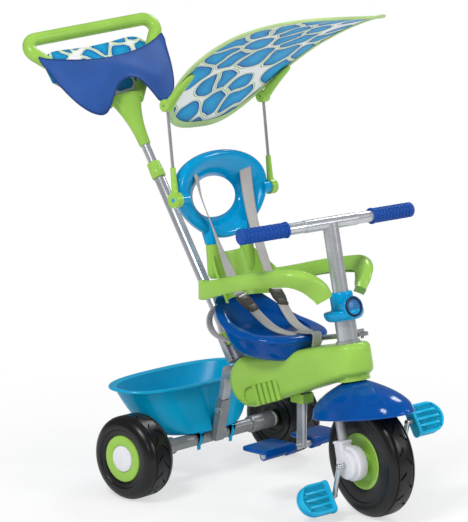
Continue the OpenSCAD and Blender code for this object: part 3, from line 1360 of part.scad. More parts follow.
// Solid between two sheets of equal rows, built across from one side to the other
module sheet_solid(front, back) {
    rows = len(front) - 1;
    loft([for (j = [0:len(front[0]) - 1])
        concat([for (k = [0:rows]) back[k][j]], [for (k = [rows:-1:0]) front[k][j]])], thin = true);
}
function lining_low(u) = loop_top - lerp(bag_back_low, bag_side_drop, pow(abs(u), 2));
function lining_sheet(off) = [for (k = [0:bag_rows]) [for (j = [0:bag_cols])
    let (u = 2 * j / bag_cols - 1, v = k / bag_rows)
    [-bag_clear - off, u * bag_back_half, lerp(lining_low(u),
        loop_top - bag_back_top - bag_top_sag * (1 - u * u) / 3, v)]]];
module handle_bag() color(navy) handle_turned() loop_frame() {
    sheet_solid(bag_sheet(bag_t), bag_sheet(0));
    sheet_solid(lining_sheet(0), lining_sheet(bag_t));
}

rear_frame();
axle_rod();
axle_sleeves();
lock_pin();
main_frame();
rear_tyre_right();
rear_rim_right();
rear_cap_right();
rear_bush_right();
rear_tyre_left();
rear_rim_left();
rear_cap_left();
rear_bush_left();
bucket();
body_cover_right();
body_cover_left();
casing_screws();
footrest_socket();
footrest_frame();
foot_plate_right();
foot_plate_left();
fork();
column_tube();
handlebar();
grip_right();
grip_left();
collar();
badge();
mudguard();
fork_cap_right();
fork_cap_left();
front_tyre();
front_rim();
crank();
pedal_right();
pedal_left();
steer_link();
seat_bracket();
seat_pan();
seat_back();
safety_bar_right();
safety_bar_left();
headrest();
harness_right();
harness_left();
lap_strap();
buckles();
canopy_sockets();
canopy_rods();
canopy_clamps();
canopy_hoop();
canopy_cloth();
handle_socket();
handle_tube();
handle_collar();
handle_slider();
handle_head();
handle_bag();
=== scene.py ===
"""Looks of a toddler's push along trike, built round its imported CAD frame."""
import logging
import math
from dataclasses import dataclass
from enum import Enum
from functools import partial
from typing import Callable, Iterable, Optional, Sequence

import bmesh
import bpy
from mathutils import Matrix, Vector


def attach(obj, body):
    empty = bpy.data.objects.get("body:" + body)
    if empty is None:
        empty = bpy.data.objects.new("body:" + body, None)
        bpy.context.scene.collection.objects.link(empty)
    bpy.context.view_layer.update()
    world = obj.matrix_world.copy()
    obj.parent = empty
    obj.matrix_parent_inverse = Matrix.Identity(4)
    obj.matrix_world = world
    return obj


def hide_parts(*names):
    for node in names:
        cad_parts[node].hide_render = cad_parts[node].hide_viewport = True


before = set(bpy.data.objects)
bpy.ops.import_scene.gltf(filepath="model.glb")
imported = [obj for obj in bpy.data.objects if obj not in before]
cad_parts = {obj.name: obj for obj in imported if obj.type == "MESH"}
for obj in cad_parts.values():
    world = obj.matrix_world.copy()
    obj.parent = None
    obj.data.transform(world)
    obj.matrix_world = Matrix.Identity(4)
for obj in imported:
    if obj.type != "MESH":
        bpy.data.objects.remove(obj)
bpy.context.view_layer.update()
LOG = logging.getLogger("trike")
MM = 0.001
IDENTITY = Matrix.Identity(4)
MIRROR = Matrix.Diagonal((1, -1, 1, 1))
FORWARD = Vector((1, 0, 0))
LEFTWARD = Vector((0, 1, 0))
Mesh = bmesh.types.BMesh
Points = list[Vector]
Line = Sequence[Sequence[float]]
Colour = tuple[float, float, float, float]
Chart = Callable[[int, int], tuple[float, float]]
Outputs = bpy.types.bpy_prop_collection
Adder = Callable[..., Outputs]


class Body(Enum):
    """The moving groups that a piece can ride on."""

    CHASSIS = "chassis"
    STEERING = "steering"
    FRONT_WHEEL = "front_wheel"
    RIGHT_PEDAL = "right_pedal"
    LEFT_PEDAL = "left_pedal"
    RIGHT_REAR = "right_rear_wheel"
    LEFT_REAR = "left_rear_wheel"
    BUCKET = "tip_bucket"
    RIGHT_FOOT = "right_foot_plate"
    LEFT_FOOT = "left_foot_plate"
    RIGHT_ARM = "right_safety_arm"
    LEFT_ARM = "left_safety_arm"
    CANOPY = "canopy_shade"
    CANOPY_ARMS = "canopy_arms"
    HANDLE = "handle_upper"
    HANDLE_LOW = "handle_lower"


class Side(Enum):
    """The rider's right or left, as the sign of Y."""

    RIGHT = -1
    LEFT = 1

    @property
    def word(self) -> str:
        """The side as it stands in a piece's name."""
        return self.name.lower()

    def body(self, part: str) -> Body:
        """This side's body of a pair, such as PEDAL."""
        return Body[f"{self.name}_{part}"]

    def mirrored(self, spot: Matrix = IDENTITY) -> Matrix:
        """The frame for this side of a piece that is drawn for the left one."""
        return spot if self is Side.LEFT else spot @ MIRROR


# Shared shapes in millimetres

def lerp(a: float, b: float, t: float) -> float:
    """Value between a and b at share t."""
    return a + (b - a) * t


def held(value: float) -> float:
    """Value, held between zero and one."""
    return max(0.0, min(1.0, value))


def circle(count: int) -> list[float]:
    """Angles of equal steps round a circle."""
    return [math.tau * i / count for i in range(count)]


def signed_power(value: float, power: float) -> float:
    """Power of the size of value, with its sign kept."""
    return math.copysign(abs(value) ** power, value)


def oval(half_x: float, half_y: float, power: float, angle: float) -> tuple[float, float]:
    """Point of a rounded oval, which is an ellipse at power two and squarer above that."""
    x, y = signed_power(math.cos(angle), 2 / power), signed_power(math.sin(angle), 2 / power)
    return half_x * x, half_y * y


def level(half_x: float, half_y: float, z: float, count: int) -> Points:
    """Level ellipse round the Z axis."""
    return [Vector((half_x * math.cos(a), half_y * math.sin(a), z)) for a in circle(count)]


def smooth_line(points: Line, steps: int) -> list[list[float]]:
    """Smooth line through points of any number of values.

    Args:
        points: The points that the line passes.
        steps: Pieces between neighbours.

    Returns:
        The finer points.
    """
    last = len(points) - 1
    line: list[list[float]] = []
    for i in range(last):
        a, b = points[max(i - 1, 0)], points[i]
        c, d = points[i + 1], points[min(i + 2, last)]
        for t in (k / steps for k in range(steps)):
            line.append([
                (2 * q + (r - p) * t + (2 * p - 5 * q + 4 * r - s) * t * t
                 + (3 * q - p - 3 * r + s) * t ** 3) / 2
                for p, q, r, s in zip(a, b, c, d)])
    line.append(list(points[last]))
    return line


def heading(line: Points, i: int) -> Vector:
    """Direction of an open line at one of its points."""
    return (line[min(i + 1, len(line) - 1)] - line[max(i - 1, 0)]).normalized()


def running(line: Points) -> list[float]:
    """Length of a line from its start to each of its points.

    Args:
        line: The line's points.

    Returns:
        The lengths.
    """
    lengths = [0.0]
    for a, b in zip(line, line[1:]):
        lengths.append(lengths[-1] + (b - a).length)
    return lengths


def hoop(middle: Vector, along: Vector, radius: float, count: int) -> Points:
    """Ring round a point of a line that runs across the forward direction.

    Args:
        middle: The line's point.
        along: The line's direction there.
        radius: The ring's radius.
        count: Points in the ring.

    Returns:
        The ring's points.
    """
    side = along.cross(FORWARD).normalized()
    return [middle + radius * (math.cos(a) * FORWARD + math.sin(a) * side) for a in circle(count)]


def place(x: float, y: float, z: float) -> Matrix:
    """Matrix of a move."""
    return Matrix.Translation((x, y, z))


def turn(degrees: float, axis: str) -> Matrix:
    """Matrix of a turn about a main axis."""
    return Matrix.Rotation(math.radians(degrees), 4, axis)


@dataclass(frozen=True)
class Layout:
    """Places of the trike's main axes, in millimetres and degrees, as the CAD part has them."""

    rear_x: float = -61.387
    rear_r: float = 81.0
    wheel_y: float = 217.0
    wheelbase: float = 412.0
    front_r: float = 108.0
    rake: float = 12.0
    shown: float = 14.0
    offset: float = 15.5
    post_ahead: float = 17.0
    post_lean: float = 12.0
    handle_ahead: float = 59.0
    handle_up: float = 265.0
    handle_lean: float = 32.0
    loop_up: float = 540.0
    loop_lean: float = 7.0
    headrest_ahead: float = 49.0
    headrest_up: float = 478.0
    headrest_lean: float = 8.0

    def rear(self, y: float) -> Matrix:
        """Frame on the rear axle at y."""
        return place(self.rear_x, y, self.rear_r)

    def post(self) -> Matrix:
        """Frame along the leaning rear post."""
        return place(self.rear_x + self.post_ahead, 0, self.rear_r) @ turn(self.post_lean, "Y")

    def head(self) -> Matrix:
        """Frame on the steering axis at the front axle's height."""
        axle = place(self.rear_x + self.wheelbase, 0, self.front_r)
        return axle @ turn(-self.rake, "Y") @ place(-self.offset, 0, 0)

    def steered(self) -> Matrix:
        """Steering frame, turned as it stands at rest."""
        return self.head() @ turn(-self.shown, "Z")

    def wheel(self) -> Matrix:
        """Frame at the front wheel's centre."""
        return self.steered() @ place(self.offset, 0, 0)

    def cradle(self) -> Matrix:
        """Frame along the push handle's tube, as the main frame holds it."""
        return place(self.rear_x + self.handle_ahead, 0, self.handle_up) @ turn(-self.handle_lean, "Y")

    def handle(self) -> Matrix:
        """Frame along the push handle's tube, turned as it stands at rest."""
        return self.cradle() @ turn(-self.shown, "Z")

    def loop_bend(self) -> Matrix:
        """Step from the handle's frame to its loop, which leans back a little more."""
        return place(0, 0, self.loop_up) @ turn(-self.loop_lean, "Y")

    def loop(self) -> Matrix:
        """Frame of the handle's loop."""
        return self.handle() @ self.loop_bend()

    def headrest(self) -> Matrix:
        """Frame at the top of the seat back's sockets."""
        return place(self.rear_x + self.headrest_ahead, 0, self.headrest_up) @ turn(-self.headrest_lean, "Y")


LAYOUT = Layout()


def loft(bm: Mesh, rings: Sequence[Points], closed: bool = True, chart: Optional[Chart] = None) -> Mesh:
    """Skin through rings of equal count, from one grid that is moved onto them.

    Args:
        bm: The mesh that it is added to.
        rings: The rings in order.
        closed: Whether each ring closes on itself.
        chart: Gives the texture place of a ring's point, where the finish follows the surface.

    Returns:
        The mesh.
    """
    count = len(rings[0]) if closed else len(rings[0]) - 1
    rows = len(rings) - 1
    made = bmesh.ops.create_grid(bm, x_segments=count, y_segments=rows, size=1.0)["verts"]
    spots: dict[bmesh.types.BMVert, tuple[int, int]] = {}
    for vert in made:
        spots[vert] = (round((vert.co.x + 1) / 2 * count), round((vert.co.y + 1) / 2 * rows))
    for vert, (i, k) in spots.items():
        vert.co = rings[k][i % len(rings[k])]
    if chart is not None:
        layer = bm.loops.layers.uv.verify()
        for face in {f for vert in made for f in vert.link_faces}:
            for corner in face.loops:
                corner[layer].uv = chart(*spots[corner.vert])
    return bm


def seal(bm: Mesh) -> None:
    """Merges the seams of lofts and turns every face outwards.

    Args:
        bm: The mesh.
    """
    bmesh.ops.remove_doubles(bm, verts=bm.verts, dist=0.001)
    bmesh.ops.dissolve_degenerate(bm, edges=bm.edges, dist=0.0001)
    bmesh.ops.recalc_face_normals(bm, faces=bm.faces)


def fill_ends(bm: Mesh, sides: int = 0) -> None:
    """Closes the open ends of a loft, those of up to a number of sides or, at zero, all."""
    bmesh.ops.holes_fill(bm, edges=[e for e in bm.edges if e.is_boundary], sides=sides)


def join(bm: Mesh, other: Mesh, spot: Matrix) -> None:
    """Adds a shape that is sealed by itself.

    Args:
        bm: The mesh that it is added to.
        other: The shape; it is freed.
        spot: Frame that it is put in.
    """
    bmesh.ops.transform(other, matrix=spot, verts=other.verts)
    seal(other)
    carrier = bpy.data.meshes.new("carrier")
    other.to_mesh(carrier)
    other.free()
    bm.from_mesh(carrier)
    bpy.data.meshes.remove(carrier)


def ease_edges(bm: Mesh, edges: Iterable[bmesh.types.BMEdge], width: float, segments: int,
               clamp: bool = True) -> None:
    """Rounds edges by a width in a number of steps."""
    bmesh.ops.bevel(bm, geom=list(edges), offset=width, offset_type="OFFSET", affect="EDGES",
                    segments=segments, profile=0.5, material=-1, clamp_overlap=clamp)


def turned(bm: Mesh, profile: Line, steps: int, axis: str = "Y") -> Mesh:
    """Turned shape about an axis through the origin.

    Args:
        bm: The mesh that it is added to.
        profile: Pairs of radius and distance along the axis.
        steps: Pieces round the circle.
        axis: "Y" or "Z".

    Returns:
        The mesh.
    """
    along_y = axis == "Y"
    verts = [bm.verts.new((r, d, 0) if along_y else (r, 0, d)) for r, d in profile]
    edges = [bm.edges.new(pair) for pair in zip(verts, verts[1:])]
    bmesh.ops.spin(bm, geom=[*verts, *edges], cent=(0, 0, 0), axis=(0, 1, 0) if along_y else (0, 0, 1),
                   dvec=(0, 0, 0), angle=math.tau, steps=steps, use_merge=True, use_duplicate=False)
    return bm


def rod(bm: Mesh, start: Vector, end: Vector, radius: float, segments: int = 24,
        end_radius: Optional[float] = None, edge: float = 0.0) -> None:
    """Round rod between two points.

    Args:
        bm: The mesh that it is added to.
        start: Middle of its first end.
        end: Middle of its last end.
        radius: Radius at the start.
        segments: Sides.
        end_radius: Radius at the end, where that differs.
        edge: Radius of its two rims, where they are rounded.
    """
    run = end - start
    spin = run.to_track_quat("Z", "Y").to_matrix().to_4x4()
    verts = bmesh.ops.create_cone(
        bm, cap_ends=True, cap_tris=False, segments=segments, radius1=radius,
        radius2=radius if end_radius is None else end_radius, depth=run.length,
        matrix=Matrix.Translation((start + end) / 2) @ spin)["verts"]
    if edge:
        along = run.normalized()
        rims = {e for v in verts for e in v.link_edges if abs((e.verts[0].co - e.verts[1].co).dot(along)) < 1}
        ease_edges(bm, rims, edge, 3, clamp=False)


def block(bm: Mesh, low: Sequence[float], high: Sequence[float], edge: float, spot: Matrix = IDENTITY,
          segments: int = 3) -> None:
    """Block with rounded edges.

    Args:
        bm: The mesh that it is added to.
        low: Its lowest corner.
        high: Its highest corner.
        edge: Radius of its edges.
        spot: Frame that it is put in.
        segments: Steps in the rounding.
    """
    size = Matrix.Diagonal((*(b - a for a, b in zip(low, high)), 1))
    middle = place(*((a + b) / 2 for a, b in zip(low, high)))
    verts = bmesh.ops.create_cube(bm, size=1.0, matrix=spot @ middle @ size)["verts"]
    ease_edges(bm, {e for v in verts for e in v.link_edges}, edge, segments)


def plate(bm: Mesh, outline: Line, thick: float, edge: float, spot: Matrix = IDENTITY,
          segments: int = 3) -> None:
    """Flat outline in X and Y, made thick along Z with rounded rims.

    Args:
        bm: The mesh that it is added to.
        outline: Its corners, anticlockwise.
        thick: Thickness, half on each side of the plane.
        edge: Radius of its rims.
        spot: Frame that it is put in.
        segments: Steps in the rounding.
    """
    verts = [bm.verts.new((x, y, -thick / 2)) for x, y in outline]
    base = bm.faces.new(verts)
    grown = bmesh.ops.extrude_face_region(bm, geom=[base])["geom"]
    raised = [g for g in grown if isinstance(g, bmesh.types.BMVert)]
    bmesh.ops.translate(bm, verts=raised, vec=(0, 0, thick))
    both = [*verts, *raised]
    rims = {e for v in both for e in v.link_edges if abs(e.verts[0].co.z - e.verts[1].co.z) < thick / 2}
    bmesh.ops.transform(bm, matrix=spot, verts=both)
    ease_edges(bm, rims, edge, segments)


def round_outline(corners: Sequence[tuple[float, float, float]], steps: int = 6) -> list[tuple[float, float]]:
    """Outline whose corners are rounded.

    Args:
        corners: X, Y and radius of each corner, anticlockwise.
        steps: Pieces in each corner.

    Returns:
        The outline's points.
    """
    found: list[tuple[float, float]] = []
    for i, (x, y, radius) in enumerate(corners):
        here = Vector((x, y))
        before = (Vector(corners[i - 1][:2]) - here).normalized()
        after = (Vector(corners[(i + 1) % len(corners)][:2]) - here).normalized()
        reach = radius / math.tan(before.angle(after) / 2)
        a, b = here + before * reach, here + after * reach
        for t in (k / steps for k in range(steps + 1)):
            p = a * (1 - t) ** 2 + here * (2 * t * (1 - t)) + b * t * t
            found.append((p.x, p.y))
    return found


# Finishes

# A wave texture of this scale repeats once per unit of length
WAVE = 0.314


def linear(code: str) -> Colour:
    """Linear colour of an sRGB hex code.

    Args:
        code: The code, with its hash sign.

    Returns:
        Red, green, blue and a full alpha.
    """
    def lift(part: str) -> float:
        """One channel from hex to linear light."""
        value = int(part, 16) / 255
        return value / 12.92 if value <= 0.04045 else ((value + 0.055) / 1.055) ** 2.4
    return (*(lift(code[i:i + 2]) for i in (1, 3, 5)), 1.0)


def shaded(code: str, share: float) -> Colour:
    """Linear colour of a code, made darker or lighter by a share."""
    return (*(min(1.0, part * share) for part in linear(code)[:3]), 1.0)


def tones(code: str, dark: float, pale: float, first: float = 0.3,
          last: float = 0.7) -> list[tuple[float, Colour]]:
    """Two stops of a ramp, from a darker to a paler tone of one colour."""
    return [(first, shaded(code, dark)), (last, shaded(code, pale))]


def scale(mm: float) -> float:
    """Scale of a pattern whose grain is so many millimetres wide."""
    return 1 / (mm * MM)


def feed(node: bpy.types.Node, inputs: dict) -> None:
    """Sets a node's inputs.

    Args:
        node: The node.
        inputs: A value or another node's output for each input, by its name or number.
    """
    for key, value in inputs.items():
        if isinstance(value, bpy.types.NodeSocket):
            node.id_data.links.new(value, node.inputs[key])
        else:
            node.inputs[key].default_value = value


def add_node(tree: bpy.types.NodeTree, kind: str, inputs: Optional[dict] = None,
             stops: Sequence[tuple[float, Colour]] = (), **settings: object) -> Outputs:
    """Adds a node with its settings, socket values and links.

    Args:
        tree: The node tree.
        kind: Blender's name of the node type, without the ShaderNode in front.
        inputs: A value or another node's output for each input, by its name or number.
        stops: Place and colour of each stop, where the node is a colour ramp.
        settings: Properties of the node.

    Returns:
        The node's outputs.
    """
    node = tree.nodes.new(f"ShaderNode{kind}")
    for key, value in settings.items():
        setattr(node, key, value)
    feed(node, inputs or {})
    if stops:
        band = node.color_ramp.elements
        while len(band) < len(stops):
            band.new(1.0)
        for element, (at, colour) in zip(band, stops):
            element.position, element.color = at, colour
    return node.outputs


def new_tree(name: str) -> tuple[bpy.types.Material, Adder, bpy.types.Node]:
    """Empty material with its shader wired to the output.

    Args:
        name: The material's name.

    Returns:
        The material, a call that adds a node to it, and its shader node.
    """
    material = bpy.data.materials.new(name)
    material.use_nodes = True
    tree = material.node_tree
    tree.nodes.clear()
    shader = tree.nodes.new("ShaderNodeBsdfPrincipled")
    add_node(tree, "OutputMaterial", {"Surface": shader.outputs[0]})
    return material, partial(add_node, tree), shader


class Finish:
    """A surface that can be put on pieces; its material is made once."""

    name: str
    slot: str
    made: dict[str, bpy.types.Material] = {}

    def inputs(self, add: Adder) -> dict:
        """Adds the nodes of the surface, and gives its shader's inputs."""
        raise NotImplementedError

    def material(self) -> bpy.types.Material:
        """The material, made on first use.

        Returns:
            The material.
        """
        key = repr(self)
        if key not in Finish.made:
            Finish.made[key], add, shader = new_tree(self.name)
            feed(shader, self.inputs(add))
        return Finish.made[key]


@dataclass(frozen=True)
class MouldedPlastic(Finish):
    """Injection moulded polypropylene: even colour with faint clouds, a soft gloss and fine orange peel."""

    name: str
    colour: str
    roughness: float = 0.20
    cloud_mm: float = 55.0
    peel_mm: float = 2.4
    # Share of the paler edge colour: a painted edge highlight together with rub wear
    wear_and_edge_sheen: float = 0.10
    specular: float = 0.25
    slot: str = "green_plastic"

    def inputs(self, add: Adder) -> dict:
        """Adds the nodes of the surface.

        Args:
            add: Adds a node to the material.

        Returns:
            The shader's inputs.
        """
        spot = add("TexCoord")["Object"]
        cloud = add("TexNoise", {"Scale": scale(self.cloud_mm), "Detail": 3.0, "Vector": spot})["Fac"]
        tone = add("ValToRGB", {0: cloud}, tones(self.colour, 0.92, 1.06))[0]
        # Convex edges are painted a little paler: a painted edge highlight, which also stands for rub wear
        # from handling
        edge = add("NewGeometry")["Pointiness"]
        rub_and_edge_sheen = add("MapRange", {"Value": edge, "From Min": 0.54, "From Max": 0.64, "To Max": self.wear_and_edge_sheen})[0]
        mixed = add("Mix", {0: rub_and_edge_sheen, 6: tone, 7: shaded(self.colour, 1.5)}, data_type="RGBA")[2]
        peel = add("TexNoise", {"Scale": scale(self.peel_mm), "Detail": 2.0, "Vector": spot})["Fac"]
        gloss = add("MapRange", {
            "Value": cloud, "To Min": self.roughness - 0.05, "To Max": self.roughness + 0.07})[0]
        bump = add("Bump", {"Height": peel, "Strength": 0.06, "Distance": 0.3 * MM})[0]
        return {"Base Color": mixed, "Roughness": gloss, "Normal": bump, "IOR": 1.49,
                "Specular IOR Level": self.specular}


@dataclass(frozen=True)
class BlownTyre(Finish):
    """Blow moulded black tyre plastic: satin, with a faint dusty bloom and fine grain."""

    name: str = "tyre_black_moulding"
    colour: str = "#131315"
    bloom_mm: float = 38.0
    grain_mm: float = 1.6
    slot: str = "tyre"

    def inputs(self, add: Adder) -> dict:
        """Adds the nodes of the surface.

        Args:
            add: Adds a node to the material.

        Returns:
            The shader's inputs.
        """
        spot = add("TexCoord")["Object"]
        bloom = add("TexNoise", {"Scale": scale(self.bloom_mm), "Detail": 4.0, "Vector": spot})["Fac"]
        tone = add("ValToRGB", {0: bloom}, tones(self.colour, 0.85, 1.2, last=0.72))[0]
        grain = add("TexNoise", {"Scale": scale(self.grain_mm), "Detail": 2.0, "Vector": spot})["Fac"]
        gloss = add("MapRange", {"Value": bloom, "To Min": 0.24, "To Max": 0.36})[0]
        bump = add("Bump", {"Height": grain, "Strength": 0.12, "Distance": 0.3 * MM})[0]
        return {"Base Color": tone, "Roughness": gloss, "Normal": bump, "IOR": 1.5,
                "Specular IOR Level": 0.36}


@dataclass(frozen=True)
class DrawnTube(Finish):
    """Drawn steel tube with a metallic coat: fine lines run along it and its gloss is satin."""

    name: str
    colour: str
    roughness: float
    along: tuple[float, float, float] = (0.0, 0.0, 0.0)
    metallic: float = 1.0
    slot: str = "silver_tube"
    line_mm: tuple[float, float, float] = (1.2, 1.2, 60.0)
    cloud_mm: float = 30.0

    def inputs(self, add: Adder) -> dict:
        """Adds the nodes of the surface.

        Args:
            add: Adds a node to the material.

        Returns:
            The shader's inputs.
        """
        spot = add("TexCoord")["Object"]
        # Real drawing lines are 0.1 mm apart; 1.2 mm is as fine as a render shows
        lined = add("Mapping", {
            "Rotation": [math.radians(part) for part in self.along],
            "Scale": [part * MM for part in self.line_mm], "Vector": spot}, vector_type="TEXTURE")[0]
        lines = add("TexNoise", {"Scale": 1.0, "Detail": 2.0, "Vector": lined})["Fac"]
        cloud = add("TexNoise", {"Scale": scale(self.cloud_mm), "Detail": 3.0, "Vector": spot})["Fac"]
        tone = add("ValToRGB", {0: cloud}, tones(self.colour, 0.9, 1.05))[0]
        gloss = add("MapRange", {
            "Value": lines, "To Min": self.roughness - 0.06, "To Max": self.roughness + 0.08})[0]
        bump = add("Bump", {"Height": lines, "Strength": 0.015, "Distance": 0.05 * MM})[0]
        return {"Base Color": tone, "Roughness": gloss, "Normal": bump, "Metallic": self.metallic}


@dataclass(frozen=True)
class Webbing(Finish):
    """Woven polypropylene harness tape: ribs across it, and cords that run along it."""

    name: str = "harness_webbing"
    colour: str = "#bdb9b6"
    rib_mm: float = 2.4
    soil_mm: float = 45.0
    slot: str = "webbing"

    def inputs(self, add: Adder) -> dict:
        """Adds the nodes of the surface.

        Args:
            add: Adds a node to the material.

        Returns:
            The shader's inputs.
        """
        chart = add("UVMap")[0]
        # Real ribs are 1.2 mm apart; they are drawn twice as coarse to show
        ribs = add("TexWave", {
            "Scale": WAVE * scale(self.rib_mm), "Distortion": 0.6, "Detail": 1.0, "Vector": chart},
            bands_direction="Y", wave_profile="SIN")["Fac"]
        cords = add("TexWave", {
            "Scale": WAVE * scale(1.5 * self.rib_mm), "Distortion": 0.4, "Vector": chart},
            bands_direction="X", wave_profile="SIN")["Fac"]
        weave = add("Math", {0: ribs, 1: cords}, operation="MULTIPLY")[0]
        soil = add("TexNoise", {"Scale": scale(self.soil_mm), "Detail": 3.0, "Vector": chart})["Fac"]
        base = add("ValToRGB", {0: soil}, tones(self.colour, 0.86, 1.05))[0]
        # Painted shade: the colour is darkened in the hollows of the weave, between the ribs and cords
        depth = add("ValToRGB", {0: weave}, tones("#ffffff", 0.62, 1.0, 0.0, 0.6))[0]
        tone = add("Mix", {0: 0.5, 6: base, 7: depth}, data_type="RGBA", blend_type="MULTIPLY")[2]
        bump = add("Bump", {"Height": weave, "Strength": 0.5, "Distance": 0.5 * MM})[0]
        return {"Base Color": tone, "Normal": bump, "Roughness": 0.72, "Sheen Weight": 0.25}


class Cloth(Enum):
    """What a woven cloth shows."""

    PLAIN = "plain"
    PRINTED = "printed"


@dataclass(frozen=True)
class WovenCloth(Finish):
    """Woven polyester: a plain weave with a soft sheen, dyed in one colour or printed with pebbles."""

    name: str
    colour: str
    look: Cloth = Cloth.PLAIN
    thread_mm: float = 1.6
    pebble_mm: float = 62.0
    fade_mm: float = 70.0
    slot: str = "bag_cloth"

    def pebbles(self, add: Adder, chart: bpy.types.NodeSocket) -> bpy.types.NodeSocket:
        """Print of close pebbles, each with a dark rim, in a white ground with pale green lines.

        Args:
            add: Adds a node to the material.
            chart: Texture places in metres.

        Returns:
            The colour socket.
        """
        size = self.pebble_mm * MM
        drawn = add("Mapping", {
            "Scale": (0.85, 1.0, 1.0), "Location": (0.031, 0.017, 0.0), "Vector": chart})[0]
        sway = add("TexNoise", {"Scale": 1 / (0.6 * size), "Detail": 0.0, "Vector": drawn})["Color"]
        bent = add("VectorMath", {0: sway, 1: (0.3 * size, 0.3 * size, 0.0), 2: drawn},
                   operation="MULTIPLY_ADD")[0]
        cells = {"Scale": 1 / size, "Randomness": 0.85, "Vector": bent}
        edge, heart = (add("TexVoronoi", cells, feature=feature, voronoi_dimensions="2D")
                       for feature in ("DISTANCE_TO_EDGE", "F1"))
        # Corners are rounded by a reach from each pebble's heart, which differs from one to the next
        chance = add("SeparateColor", {0: heart["Color"]})[0]
        reach = add("MapRange", {"Value": chance, "To Min": 0.50, "To Max": 0.80})[0]
        left = add("Math", {0: reach, 1: heart["Distance"]}, operation="SUBTRACT")[0]
        inside = add("Math", {0: edge["Distance"], 1: left, 2: 0.10}, operation="SMOOTH_MIN")[0]
        rim, white, halo = linear("#084f9e"), linear("#f8f7f8"), linear("#a5d08a")
        return add("ValToRGB", {0: inside}, [
            (0.0, white), (0.008, white), (0.016, halo), (0.042, halo), (0.050, white), (0.070, white),
            (0.078, rim), (0.110, rim), (0.130, linear("#0089c6")), (0.40, linear("#16a6de"))])[0]

    def inputs(self, add: Adder) -> dict:
        """Adds the nodes of the surface.

        Args:
            add: Adds a node to the material.

        Returns:
            The shader's inputs.
        """
        chart = add("UVMap")[0]
        # Real threads are 0.4 mm apart; they are drawn four times as coarse to show
        weft, warp = (add("TexWave", {
            "Scale": WAVE * scale(self.thread_mm), "Distortion": 0.5, "Detail": 1.0, "Vector": chart},
            bands_direction=way, wave_profile="SIN")["Fac"] for way in ("X", "Y"))
        weave = add("Math", {0: weft, 1: warp}, operation="MAXIMUM")[0]
        if self.look is Cloth.PRINTED:
            base = self.pebbles(add, chart)
        else:
            fade = add("TexNoise", {"Scale": scale(self.fade_mm), "Detail": 3.0, "Vector": chart})["Fac"]
            base = add("ValToRGB", {0: fade}, tones(self.colour, 0.88, 1.1))[0]
        # Painted shade: the colour is darkened in the hollows of the weave, between the threads
        depth = add("ValToRGB", {0: weave}, tones("#ffffff", 0.72, 1.0, 0.2, 0.9))[0]
        tone = add("Mix", {0: 0.35, 6: base, 7: depth}, data_type="RGBA", blend_type="MULTIPLY")[2]
        bump = add("Bump", {"Height": weave, "Strength": 0.25, "Distance": 0.3 * MM})[0]
        return {"Base Color": tone, "Normal": bump, "Roughness": 0.62, "Sheen Weight": 0.08,
                "Specular IOR Level": 0.25}


GREEN = MouldedPlastic("green_moulding", "#99c754", slot="green_plastic")
TURQUOISE = MouldedPlastic("turquoise_moulding", "#0098d0", 0.09, specular=0.3, slot="turquoise_plastic")
BUCKET_BLUE = MouldedPlastic("bucket_turquoise_moulding", "#00a0ce", 0.20, slot="turquoise_plastic")
PEDAL_BLUE = MouldedPlastic("pedal_light_blue_moulding", "#0fb0de", slot="pedal_plastic")
NAVY = MouldedPlastic("dark_blue_moulding", "#004c9c", 0.13, slot="navy_plastic")
WHITE = MouldedPlastic("white_moulding", "#e4e4ea", 0.28, wear_and_edge_sheen=0.0, specular=0.5, slot="white_plastic")
BLACK = MouldedPlastic("buckle_dark_moulding", "#45413f", 0.30, slot="black_plastic")
BUCKLE_BAR = MouldedPlastic("buckle_grey_bar_moulding", "#c4c3c1", 0.22, specular=0.5, slot="black_plastic")
GRIP = MouldedPlastic("grip_soft_blue_rubber", "#0f4aa0", 0.52, peel_mm=1.6, slot="grip_rubber")
BADGE_RING = MouldedPlastic("badge_dark_moulding", "#1d2547", 0.2, slot="navy_plastic")
BADGE_FACE = MouldedPlastic("badge_blue_face", "#2f6fa8", 0.2, slot="navy_plastic")
TYRE = BlownTyre()
SILVER = DrawnTube("silver_coated_tube", "#b6b9be", 0.30, metallic=0.6)
COLUMN = DrawnTube("silver_column_tube", "#c0c3c8", 0.26, (0.0, -12.0, 0.0), 0.6)
BAR = DrawnTube("silver_handlebar_tube", "#c4c7cc", 0.24, (90.0, 0.0, -14.0), 0.6)
HANDLE_TUBE = DrawnTube("silver_push_tube", "#c0c3c8", 0.24, (0.0, -32.0, 0.0), 0.6)
AXLE = DrawnTube("grey_coated_axle_tube", "#949598", 0.38, (90.0, 0.0, 0.0), 0.55, "dark_tube")
STEEL = DrawnTube("bright_plated_steel", "#c6c8cc", 0.18, metallic=0.75, slot="bright_steel")
STRAP = Webbing()
CANOPY_PRINT = WovenCloth("canopy_printed_cloth", "#ede9ee", Cloth.PRINTED, slot="canopy_cloth")
EDGING = WovenCloth("canopy_green_edging_tape", "#b4d18f", slot="canopy_edging")
BAG_CLOTH = WovenCloth("bag_blue_cloth", "#24529c")
BAG_PIPING = WovenCloth("bag_dark_blue_piping", "#1f3f80")
BAG_LINING = WovenCloth("bag_printed_lining", "#ede9ee", Cloth.PRINTED, pebble_mm=38.0)


